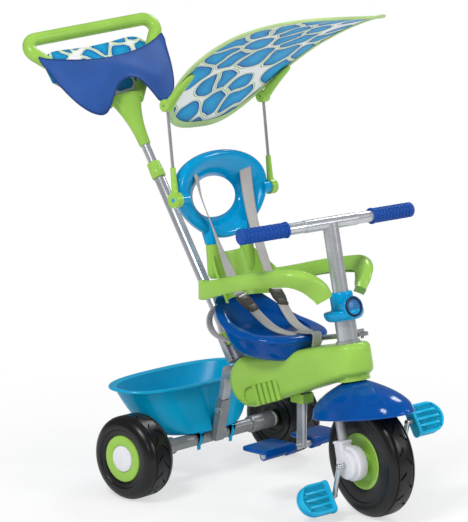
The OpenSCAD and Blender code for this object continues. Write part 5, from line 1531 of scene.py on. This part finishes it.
            # The channel fills up towards the arm's front end
            shut = max(0.0, (share - 0.86) / 0.14)
            roof, lip = lerp(h - 6, 1.4 - h, shut), lerp(3 - h, 1 - h, shut)
            outside = [(w - 1, -h), (w, 1.6 - h), (w, h - 6.0), (w - 1.6, h - 2.2), (w - 4.8, h - 0.3)]
            inside = [(3 - w, -h), (3.4 - w, lip), (3.4 - w, roof)]
            section = [*outside, (0, h + 0.3), *((-a, b) for a, b in reversed(outside)),
                       *inside, (0, roof + 1.6 * (1 - shut)), *((-a, b) for a, b in reversed(inside))]
            rings.append([spot + out * a + up * b for a, b in section])
        bm = loft(bmesh.new(), rings)
        seal(bm)
        fill_ends(bm)
        hinge = Vector((LAYOUT.rear_x + self.hinge_x, self.hinge_y, 0))
        for low, high in ((379.3, 392.4), (403.6, 416.7)):
            rod(bm, hinge + Vector((0, 0, low)), hinge + Vector((0, 0, high)), self.hinge_r, 32, edge=1.6)
        finish_piece(bm, f"safety_arm_{side.word}", GREEN, side.body("ARM"), side.mirrored(),
                     (f"safety_bar_{side.word}",), 36)

    def headrest(self) -> None:
        """Makes the dished ring on its two legs, with a pivot boss on each side."""
        (wide, tall, mid), (far_wide, far_tall, far_mid) = self.ring_inner, self.ring_outer
        rings = []
        for share, ahead in smooth_line(self.ring_section, 3):
            ring = []
            for a in circle(96):
                flare = 1 + self.ring_flare * math.sin(a)
                inner = Vector((wide * math.cos(a), mid + tall * math.sin(a)))
                outer = Vector((far_wide * math.cos(a) * flare, far_mid + far_tall * math.sin(a)))
                p = inner.lerp(outer, held(share))
                ring.append(Vector((ahead * self.ring_deep, p.x, p.y)))
            rings.append(ring)
        bm = loft(bmesh.new(), rings)
        seal(bm)
        for sign in (side.value for side in Side):
            y, up = sign * self.socket_y, self.pivot_up
            rod(bm, Vector((0, y, -34)), Vector((0, y, 36)), 10, 32)
            rod(bm, Vector((-3, y, 2)), Vector((-9, y, 34)), 12.4, 32, 13.5)
            rod(bm, Vector((0, sign * 108, up)), Vector((0, sign * 128, up)), 12, 32)
            rod(bm, Vector((0, sign * 116, up)), Vector((0, sign * 143, up)), 4, 20)
        finish_piece(bm, "head_ring", TURQUOISE, Body.CHASSIS, LAYOUT.headrest(), ("headrest",), 50)

    def strap(self, name: str, points: Line, nodes: Sequence[str] = (),
              twist: Callable[[float], float] = lambda share: 0.0, width: float = 25.0) -> None:
        """Makes a length of webbing along a line.

        Args:
            name: The piece's name.
            points: Its line, ahead of the rear axle, out and up.
            nodes: CAD nodes that it stands for.
            twist: Gives its turn about its own line, in degrees, at a share of its length.
            width: Width of the webbing.
        """
        line = [Vector((LAYOUT.rear_x + x, y, z)) for x, y, z in smooth_line(points, 10)]
        rows = []
        for i, p in enumerate(line):
            along = heading(line, i)
            normal = along.cross(LEFTWARD).normalized()
            side = normal.cross(along).normalized()
            spin = Matrix.Rotation(math.radians(twist(i / (len(line) - 1))), 3, along)
            normal, side = spin @ normal, spin @ side
            rows.append([p + side * width * (j / 6 - 0.5) + normal * 0.35 * math.cos(math.pi * (j / 3 - 1))
                         for j in range(7)])
        lengths = running(line)
        bm = loft(bmesh.new(), rows, False, lambda i, k: (width * i / 6 * MM, lengths[k] * MM))
        finish_piece(bm, name, STRAP, Body.CHASSIS, nodes=nodes, sharp=60, thick=1.7, merge=False)

    def slack(self, share: float) -> float:
        """Twist of the near shoulder strap, which hangs on edge halfway down."""
        return -43 * math.sin(math.pi * held((share - 0.12) / 0.73)) ** 0.8

    def fanned(self, share: float) -> float:
        """Twist of the far shoulder strap, which lies open at its slot."""
        return 38 * max(0.0, 1 - share / 0.7)

    def buckle(self, bm: Mesh, spot: Matrix) -> None:
        """Adds a side release buckle with its prongs and its slotted end.

        Args:
            bm: The mesh that it is added to.
            spot: Frame that it is put in.
        """
        body = round_outline([(1, -15, 4), (24, -15, 5), (30, -12, 3), (30, 12, 3), (24, 15, 5), (1, 15, 4)])
        plate(bm, body, 8.6, 2.4, spot)
        tail = round_outline([(29, -11, 2), (44, -13, 4), (44, 13, 4), (29, 11, 2)])
        plate(bm, tail, 6.6, 1.6, spot)
        for y in (-10.5, 10.5):
            block(bm, (22, y - 3.4, -3.4), (33, y + 3.4, 3.4), 1.6, spot)
        block(bm, (8, -8.5, 3.2), (20, 8.5, 5.0), 1.0, spot)
        block(bm, (38, -9, -4.0), (41, 9, 4.0), 1.0, spot)

    def harness(self) -> None:
        """Makes the straps and buckles."""
        for side, twist, lap in ((Side.RIGHT, self.slack, ("lap_strap",)), (Side.LEFT, self.fanned, ())):
            shoulder, hip = ([(x, side.value * y, z) for x, y, z in points]
                             for points in (self.shoulder_points, self.lap_points))
            self.strap(f"shoulder_strap_{side.word}", shoulder, (f"harness_{side.word}",), twist)
            self.strap(f"lap_webbing_{side.word}", hip, lap)
        self.strap("crotch_webbing", self.crotch_points)
        bm, bars = bmesh.new(), bmesh.new()
        x, y, z = self.shoulder_points[-1]
        for side in Side:
            along = Vector((0.75, -0.2 * side.value, -0.63)).normalized()
            across = (LEFTWARD - along * along.dot(LEFTWARD)).normalized()
            axes = Matrix((along, across, along.cross(across))).transposed().to_4x4()
            spot = place(LAYOUT.rear_x + x, side.value * y, z) @ axes
            self.buckle(bm, spot)
            block(bars, (3.4, -12.4, -1), (7.4, 12.4, 5.8), 1.2, spot)
        finish_piece(bm, "harness_buckles", BLACK, Body.CHASSIS, nodes=("buckles",), sharp=36)
        finish_piece(bars, "buckle_bars", BUCKLE_BAR, Body.CHASSIS, sharp=36)
        self.strap("strap_tail", self.tail_points, width=16.0)

    def build(self) -> None:
        """Builds the seat's pieces."""
        self.pan()
        self.back()
        for side in Side:
            self.arm(side)
        self.headrest()
        self.harness()
        dress(SILVER, "seat_bracket")


# Canopy

@dataclass
class Canopy:
    """The curved shade with its printed cloth, edging and clamps."""

    tip_x: float = 407.0
    tip_z: float = 926.0
    radius: float = 556.0
    length: float = 450.0
    width: float = 306.0
    sag: float = 4.0
    cloth_sides: int = 104
    cloth_rows: int = 18
    tape_steps: int = 156
    # Inset and height off the curve, round the tape's section
    tape: Line = ((0.6, 2.2), (0.0, 0.8), (0.0, -1.0), (0.6, -2.6), (2.2, -3.4), (8.6, -2.8), (9.6, -2.2),
                  (8.6, -1.6), (8.6, 0.6), (9.4, 1.0), (8.4, 1.6), (2.4, 2.6))
    clamp_x: float = -46.92
    clamp_y: float = 135.9
    clamp_z: float = 750.81
    clamp_rows: int = 20

    def outline(self, inset: float, i: int, count: int) -> tuple[float, float]:
        """Point of the canopy's outline seen from above.

        Args:
            inset: How far the outline is drawn in.
            i: Number of the point.
            count: Points in the outline.

        Returns:
            The point's X and Y.
        """
        a = math.tau * i / count
        power = 1.8 if math.cos(a) > 0 else 3.0
        x, y = oval(self.length / 2 - inset, self.width / 2 - inset, power, a)
        return LAYOUT.rear_x + self.tip_x - self.length / 2 + x, y

    def lift(self, x: float, y: float, off: float = 0.0) -> Vector:
        """Point on the canopy's curve above x and y.

        Args:
            x: Place along.
            y: Place across.
            off: How far the point is moved off the curve outwards.

        Returns:
            The point.
        """
        mid_x, mid_z = LAYOUT.rear_x + self.tip_x, self.tip_z - self.radius
        angle = math.asin(max(-1.0, min(1.0, (x - mid_x) / self.radius)))
        r = self.radius + off
        return Vector((mid_x + r * math.sin(angle), y, mid_z + r * math.cos(angle)))

    def cloth(self) -> None:
        """Makes the printed sheet, which sags a little between its edges."""
        count, tip = self.cloth_sides, LAYOUT.rear_x + self.tip_x
        middle = Vector((tip - self.length / 2, 0))
        rings, chart = [], []
        for k in range(self.cloth_rows + 1):
            share = 1 - k / self.cloth_rows
            spots = [middle.lerp(Vector(self.outline(7.0, i, count)), share) for i in range(count)]
            rings.append([self.lift(x, y, -self.sag * (1 - share ** 2) - 1.25) for x, y in spots])
            chart.append([(math.asin((x - tip) / self.radius) * self.radius * MM, y * MM) for x, y in spots])
        bm = loft(bmesh.new(), rings, True, lambda i, k: chart[k][i % count])
        piece = finish_piece(bm, "canopy_sheet", CANOPY_PRINT, Body.CANOPY, nodes=("canopy_cloth",), sharp=80,
                             thick=1.0)

    def edging(self) -> None:
        """Makes the sewn tape round the shade, with its rounded edge."""
        count = self.tape_steps
        lengths = running([Vector(self.outline(4.0, i, count)) for i in range(count + 1)])
        rings = [[self.lift(*self.outline(inset, i, count), off - 0.5) for inset, off in self.tape]
                 for i in range(count)]
        bm = loft(bmesh.new(), [*rings, rings[0]], True, lambda i, k: (i * 2.2 * MM, lengths[k] * MM))
        finish_piece(bm, "canopy_edge_tape", EDGING, Body.CANOPY, nodes=("canopy_hoop",), sharp=60)

    def finger(self, bm: Mesh, y: float) -> None:
        """Adds the finger of a clamp, which hugs the shade's edge.

        Args:
            bm: The mesh that it is added to.
            y: Its middle.
        """
        rings = []
        for t in (k / self.clamp_rows for k in range(self.clamp_rows + 1)):
            end = math.sqrt(max(0.0, 1 - (2 * t - 1) ** 6))
            wide, deep = lerp(11.5, 7.0, t) * end, lerp(11.0, 4.5, t ** 0.7) * end
            x = self.clamp_x + lerp(-12, 66, t)
            middle = self.lift(x, y, lerp(-13.5, -8.0, t ** 0.6))
            up = (self.lift(x, y, 1.0) - self.lift(x, y, 0.0)).normalized()
            rings.append([middle + LEFTWARD * wide * math.cos(a) + up * deep * math.sin(a)
                          for a in circle(24)])
        loft(bm, rings)

    def clamps(self) -> None:
        """Makes the two clamps: a round eye on each rod with a finger."""
        bm = bmesh.new()
        for y in (side.value * self.clamp_y for side in Side):
            eye = Vector((self.clamp_x, y, self.clamp_z))
            rod(bm, eye - LEFTWARD * 10, eye + LEFTWARD * 10, 12, 40, edge=2.2)
            self.finger(bm, y)
        finish_piece(bm, "canopy_clamp_pair", GREEN, Body.CANOPY, nodes=("canopy_clamps",), sharp=50)

    def build(self) -> None:
        """Builds the shade and dresses its rods."""
        self.cloth()
        self.edging()
        self.clamps()
        smooth_copy("canopy_socket_pair", "canopy_sockets", GREEN, Body.CANOPY_ARMS, 30)
        dress(STEEL, "canopy_rods")


# Push handle and bag

@dataclass
class PushHandle:
    """Handle tubes, head with its loop, and the cloth bag on it."""

    loop_top: float = 194.449
    bar_half: float = 128.0
    bend: float = 22.0
    bar_r: float = 13.5
    # Across, up and radius at the loop's foot
    loop_foot: tuple[float, float, float] = (28.0, 14.0, 12.0)
    bag_half: float = 148.0
    bag_cols: int = 72
    bag_rows: int = 20
    hem_drops: tuple[float, ...] = (152, 155, 163, 181, 200, 207, 202, 188, 163, 122, 64)
    tube_r: float = 11.2
    tube_top: float = 400.0
    foot_r: float = 13.5
    foot_low: float = -13.0
    slider_r: float = 9.0
    slider_bore: float = 7.5
    slider_ends: tuple[float, float] = (250.0, 492.0)
    neck_r: float = 11.8
    neck_low: float = 453.0
    neck_top: float = 566.0
    neck_sides: int = 48
    collar_low: float = 379.6
    collar_top: float = 413.6

    def tubes(self) -> None:
        """Makes the lower tube with its foot and lever, the collar and the sliding tube."""
        spot, slide, wide, end = LAYOUT.handle(), self.slider_r + 0.15, self.tube_r, self.tube_top
        foot, floor = self.foot_r, self.foot_low
        bm = turned(bmesh.new(), [
            (slide, end), (wide - 0.4, end), (wide, end - 0.6), (wide, 54), (foot, 42), (foot, floor),
            (0, floor), (0, floor + 4), (slide, floor + 4), (slide, end)], 48, "Z")
        block(bm, (-5, 8, floor), (5, 38, floor + 3), 1.0)
        rod(bm, Vector((0, 34, floor)), Vector((0, 34, 13)), 3, 20)
        finish_piece(bm, "push_tube_lower", HANDLE_TUBE, Body.HANDLE_LOW, spot, ("handle_tube",))
        low, top, bore = self.collar_low, self.collar_top, wide + 0.1
        bm = turned(bmesh.new(), [
            (bore, low), (13.6, low), (14.2, low + 0.8), (14.2, low + 16), (13.6, low + 17), (13.2, top - 2),
            (12.4, top - 0.4), (11.4, top), (slide, top), (slide, end + 0.2), (bore, end + 0.2),
            (bore, low)], 48, "Z")
        finish_piece(bm, "push_collar", GREEN, Body.HANDLE_LOW, spot, ("handle_collar",))
        (low, top), bore = self.slider_ends, self.slider_bore
        bm = turned(bmesh.new(), [
            (bore, low), (self.slider_r, low), (self.slider_r, top), (bore, top), (bore, low)], 40, "Z")
        finish_piece(bm, "push_tube_upper", HANDLE_TUBE, Body.HANDLE, spot, ("handle_slider",))

    def loop_line(self) -> list[tuple[float, float, float]]:
        """Middle line of the loop, from one foot round to the other.

        Returns:
            Across, up and radius at each point.
        """
        half, bend, top, r = self.bar_half, self.bend, self.loop_top, self.bar_r
        lean = math.degrees(math.atan2(half + bend - self.loop_foot[0], top - 26 - 2 * bend))
        angles = [math.radians(lerp(-lean, 90, i / 16)) for i in range(17)]
        corner = [(half + bend * math.cos(a), top - bend + bend * math.sin(a), r) for a in angles]
        leg = [tuple(lerp(a, b, k / 8) for a, b in zip(self.loop_foot, corner[0])) for k in range(8)]
        bar = [(lerp(half, -half, k / 12), top, r) for k in range(1, 12)]
        one_side = [*leg, *corner]
        return [*one_side, *bar, *[(-y, z, r) for y, z, r in reversed(one_side)]]

    def head(self) -> None:
        """Makes the loop and the trumpet shaped neck."""
        line = self.loop_line()
        spots = [Vector((0, y, z)) for y, z, _ in line]
        bm = loft(bmesh.new(), [hoop(p, heading(spots, i), line[i][2], 28) for i, p in enumerate(spots)])
        bmesh.ops.transform(bm, matrix=LAYOUT.loop_bend(), verts=bm.verts)
        bore, sides = self.slider_r + 0.15, self.neck_sides
        neck = [level(bore, bore, self.neck_low, sides)]
        for t in (0.0, 0.02, 0.1, 0.2, 0.3, 0.4, 0.5, 0.6, 0.7, 0.8, 0.9, 1.0):
            grow = -1.5 if t == 0 else 0.0
            neck.append(level(lerp(self.neck_r, 15, t) + grow, lerp(self.neck_r, 42, t ** 2.2) + grow,
                              lerp(self.neck_low, self.neck_top, t), sides))
        neck.append([Vector((p.x * 0.7, p.y * 0.9, self.neck_top + 4)) for p in neck[-1]])
        neck.append(level(0, 0, self.neck_top + 5, sides))
        loft(bm, neck)
        seal(bm)
        fill_ends(bm, 28)
        finish_piece(bm, "push_loop", GREEN, Body.HANDLE, LAYOUT.handle(), ("handle_head",), 50)

    def bag_top(self, u: float) -> float:
        """Height of the bag's mouth at share u across."""
        return self.loop_top - 50 - 43 * (1 - u * u)

    def bag_low(self, u: float) -> float:
        """Height of the flap's lower edge, with two lobes and a notch.

        Args:
            u: Share across.

        Returns:
            The height.
        """
        drops, last = self.hem_drops, len(self.hem_drops) - 1
        at = abs(u) * last
        k = min(int(at), last - 1)
        a, b, t = drops[k], drops[k + 1], at - k
        low, high = (b - drops[max(k - 1, 0)]) / 2, (drops[min(k + 2, last)] - a) / 2
        bow = 3 * (b - a) - 2 * low - high + t * (2 * (a - b) + low + high)
        return self.loop_top - (a + t * (low + t * bow))

    def bag_front(self, u: float, v: float) -> Vector:
        """Point of the flap.

        Args:
            u: Share across.
            v: Share up.

        Returns:
            The point.
        """
        across = max(0.0, math.cos(math.pi / 2 * min(1, abs(u) / 0.9))) ** 0.8
        full = 33 * across * max(0.0, math.sin(math.pi * lerp(0.2, 0.84, v))) ** 0.7
        hem = 30 * max(0.0, 1 - (u / 0.42) ** 2) + 5 * across
        crown = lerp(hem, full, min(1.0, v / 0.4) ** 0.8)
        # Soft folds run from the two hung corners down to the lobes
        fold = 1.6 * math.sin(9 * u + 3.2 * v) * math.sin(math.pi * v) * across
        return Vector((13.9 + crown + fold, u * self.bag_half, lerp(self.bag_low(u), self.bag_top(u), v)))

    def lining_point(self, u: float, v: float) -> Vector:
        """Point of the lining behind the loop.

        Args:
            u: Share across.
            v: Share up.

        Returns:
            The point.
        """
        low = self.loop_top - lerp(176, 96, u * u)
        top = self.loop_top - 18 - 13 * (1 - u * u) - 36 * u ** 8
        wave = 1.2 * math.sin(7 * u) * math.sin(math.pi * v)
        return Vector((-15.4 - wave, u * self.bar_half, lerp(low, top, v)))

    def panel(self, name: str, spot: Callable[[float, float], Vector], finish: Finish,
              nodes: Sequence[str] = ()) -> None:
        """Makes one cloth panel of the bag.

        Args:
            name: The piece's name.
            spot: Gives the panel's points from shares across and up.
            finish: Its surface.
            nodes: CAD nodes that it stands for.
        """
        cols, rows = self.bag_cols, self.bag_rows
        rings = [[spot(2 * j / cols - 1, k / rows) for j in range(cols + 1)] for k in range(rows + 1)]
        bm = loft(bmesh.new(), rings, False, lambda i, k: (rings[k][i].y * MM, rings[k][i].z * MM))
        piece = finish_piece(bm, name, finish, Body.HANDLE, LAYOUT.loop(), nodes, 80, merge=False, thick=1.4)

    def piping(self) -> None:
        """Makes the bound edge round the flap."""
        cols, rows = self.bag_cols, self.bag_rows
        edge = [self.bag_front(2 * j / cols - 1, 0) for j in range(cols + 1)]
        edge += [self.bag_front(1, k / rows) for k in range(1, rows + 1)]
        edge += [self.bag_front(1 - 2 * j / cols, 1) for j in range(1, cols + 1)]
        edge += [self.bag_front(-1, 1 - k / rows) for k in range(1, rows)]
        rings = []
        for i, p in enumerate(edge):
            along = edge[(i + 1) % len(edge)] - edge[i - 1]
            rings.append(hoop(p, along, 1.9, 10))
        lengths = running(edge)
        lengths.append(lengths[-1])
        bm = loft(bmesh.new(), [*rings, rings[0]], True, lambda i, k: (i * 1.2 * MM, lengths[k] * MM))
        finish_piece(bm, "bag_piping", BAG_PIPING, Body.HANDLE, LAYOUT.loop(), sharp=80)

    def build(self) -> None:
        """Builds the handle's pieces and dresses its socket."""
        self.head()
        self.panel("bag_flap", self.bag_front, BAG_CLOTH, ("handle_bag",))
        self.panel("bag_lining", self.lining_point, BAG_LINING)
        self.piping()
        self.tubes()
        dress(GREEN, "handle_socket")


@dataclass
class RearFrame:
    """Main frame with the cradle of the push handle, and the axle, which keeps its CAD shape."""

    beam_up: float = 136.0
    beam_r: float = 15.0
    beam_w: float = 188.0
    head_tube: Line = ((13.6, 152), (22.4, 152), (23, 152.6), (23, 223.4), (22.4, 224), (13.6, 224),
                       (13.6, 152))
    cup_r: float = 18.5
    cup_low: float = -24.0
    coated: tuple[str, ...] = ("rear_frame", "axle_sleeves")

    def frame_tubes(self) -> None:
        """Makes the leg, the beam, the head tube and a rounded cradle strap."""
        post, head, cup = LAYOUT.post(), LAYOUT.head(), LAYOUT.cradle()
        bm = turned(bmesh.new(), self.head_tube, 56, "Z")
        bmesh.ops.transform(bm, matrix=head, verts=bm.verts)
        rod(bm, post @ Vector((0, 0, self.beam_up)), head @ Vector((0, 0, self.beam_w)), self.beam_r, 40)
        block(bm, (-7, -12, 81.4), (7, 12, 150), 3.0, post)
        block(bm, (-5, -10, 38), (5, 10, 82), 2.0, post)
        rod(bm, cup @ Vector((0, 0, self.cup_low)), cup @ Vector((0, 0, -13.5)), self.cup_r, 40)
        strap = round_outline([(-8, self.cup_low, 3), (8, self.cup_low, 3), (7, 34, 6), (-7, 34, 6)])
        plate(bm, strap, 3.6, 1.2, cup @ place(0, -21, 0) @ turn(90, "X"))
        block(bm, (-8, -22.6, self.cup_low), (8, -10, -14), 2.0, cup)
        finish_piece(bm, "frame_tubes", SILVER, Body.CHASSIS, nodes=("main_frame",), sharp=36)

    def build(self) -> None:
        """Builds the main frame and dresses the axle and the lock pin."""
        self.frame_tubes()
        dress(AXLE, *self.coated)
        dress(STEEL, "lock_pin")


# Stage

@dataclass
class Studio:
    """Camera, floor and soft light, in metres and watts."""

    camera_at: tuple[float, float, float] = (2.6632, -2.8936, 1.1142)
    target: tuple[float, float, float] = (-0.0002, 0.0, 0.4406)
    lens: float = 141.08
    floor_half: float = 60.0
    floor_z: float = -0.0006
    grain_mm: float = 300.0
    shadow_near: float = 0.35
    shadow_far: float = 1.1
    paper_glow: float = 0.6
    sky: float = 0.50
    gloss_sky: float = 0.20
    lit_point: tuple[float, float, float] = (0.0, 0.0, 0.4)
    # Name, place, size and power of each lamp
    lamps: tuple = (("key", (0.5, -2.3, 2.9), 0.8, 56.0), ("fill", (3.2, 0.6, 1.9), 0.9, 22.0),
                    ("rim", (-0.5, 2.4, 2.9), 0.8, 26.0), ("spark", (1.9, 2.1, 1.7), 0.28, 9.0),
                    ("low_spark", (1.9, -2.6, 1.5), 0.22, 6.0))

    def aimed(self, name: str, data: bpy.types.ID, spot: Sequence[float],
              target: Sequence[float]) -> bpy.types.Object:
        """Puts a camera or lamp at a place, aimed at a point.

        Args:
            name: Its name.
            data: Its camera or lamp data.
            spot: Where it stands.
            target: The point.

        Returns:
            The object.
        """
        made = bpy.data.objects.new(name, data)
        made.location = spot
        made.rotation_mode = "QUATERNION"
        made.rotation_quaternion = (Vector(target) - Vector(spot)).to_track_quat("-Z", "Y")
        bpy.context.scene.collection.objects.link(made)
        return made

    def camera(self) -> None:
        """Sets the camera at the photograph's angle."""
        data = bpy.data.cameras.new("camera")
        data.lens, data.sensor_width, data.clip_end = self.lens, 36.0, 200.0
        bpy.context.scene.camera = self.aimed("camera", data, self.camera_at, self.target)

    def seen(self, add: Adder) -> bpy.types.NodeSocket:
        """Tells rays that the camera or a clear surface sends, so that a gloss mirrors a dimmer room.

        Args:
            add: Adds a node to the floor's material or the world.

        Returns:
            One for such rays and zero for others.
        """
        path = add("LightPath")
        rays = {0: path["Is Camera Ray"], 1: path["Is Transmission Ray"]}
        return add("Math", rays, operation="MAXIMUM")[0]

    def paper(self) -> bpy.types.Material:
        """Makes the floor's plain white paper: matt, with a faint grain.

        Returns:
            The material.
        """
        material, add, shader = new_tree("pale_floor_paper")
        spot = add("TexCoord")["Object"]
        grain = add("TexNoise", {"Scale": scale(self.grain_mm), "Vector": spot})["Fac"]
        tone = add("ValToRGB", {0: grain}, [(0.3, linear("#f4f4f4")), (0.7, linear("#f8f8f8"))])[0]
        feed(shader, {"Base Color": tone, "Roughness": 0.9, "Specular IOR Level": 0.0})
        # The paper runs out to plain white away from the trike, and keeps its shadow near it
        reach = add("VectorMath", {0: spot}, operation="LENGTH")["Value"]
        far = add("MapRange", {
            "Value": reach, "From Min": self.shadow_near, "From Max": self.shadow_far,
            "To Min": self.paper_glow, "To Max": 1.0}, interpolation_type="SMOOTHSTEP")[0]
        share = add("Math", {0: far, 1: self.seen(add)}, operation="MULTIPLY")[0]
        glow = add("Emission", {"Color": (1, 1, 1, 1), "Strength": 1.0})[0]
        both = add("MixShader", {0: share, 1: shader.outputs[0], 2: glow})[0]
        feed(material.node_tree.nodes["Material Output"], {"Surface": both})
        return material

    def floor(self) -> None:
        """Lays a plain pale floor."""
        bm = bmesh.new()
        bmesh.ops.create_grid(bm, x_segments=1, y_segments=1, size=self.floor_half)
        mesh = bpy.data.meshes.new("floor")
        bm.to_mesh(mesh)
        bm.free()
        mesh.materials.append(self.paper())
        floor = bpy.data.objects.new("floor", mesh)
        floor.location.z = self.floor_z
        bpy.context.scene.collection.objects.link(floor)

    def light(self) -> None:
        """Lights the scene with a pale world, three soft lamps and two small ones that make glints."""
        world = bpy.data.worlds.new("studio")
        world.use_nodes = True
        world.node_tree.nodes.clear()
        add = partial(add_node, world.node_tree)
        glossy = add("LightPath")["Is Glossy Ray"]
        strength = add("MapRange", {"Value": glossy, "To Min": self.sky, "To Max": self.gloss_sky})[0]
        soft = add("Background", {"Color": (1, 1, 1, 1), "Strength": strength})[0]
        white = add("Background", {"Color": (1, 1, 1, 1), "Strength": 1.0})[0]
        both = add("MixShader", {0: self.seen(add), 1: soft, 2: white})[0]
        add("OutputWorld", {"Surface": both})
        bpy.context.scene.world = world
        for name, spot, size, power in self.lamps:
            data = bpy.data.lights.new(name, "AREA")
            data.size, data.energy = size, power
            self.aimed(name, data, spot, self.lit_point)

    def build(self) -> None:
        """Sets the whole stage."""
        self.camera()
        self.floor()
        self.light()
        bpy.context.scene.view_settings.view_transform = "Standard"


def main() -> None:
    """Builds the trike's looks."""
    logging.basicConfig(level=logging.INFO)
    for kind in (Studio, Wheels, Bucket, Casing, Steering, Seat, Canopy, PushHandle, RearFrame):
        kind().build()
        LOG.info("built %s", kind.__name__)
    bpy.context.view_layer.update()


if __name__ == "__main__":
    main()
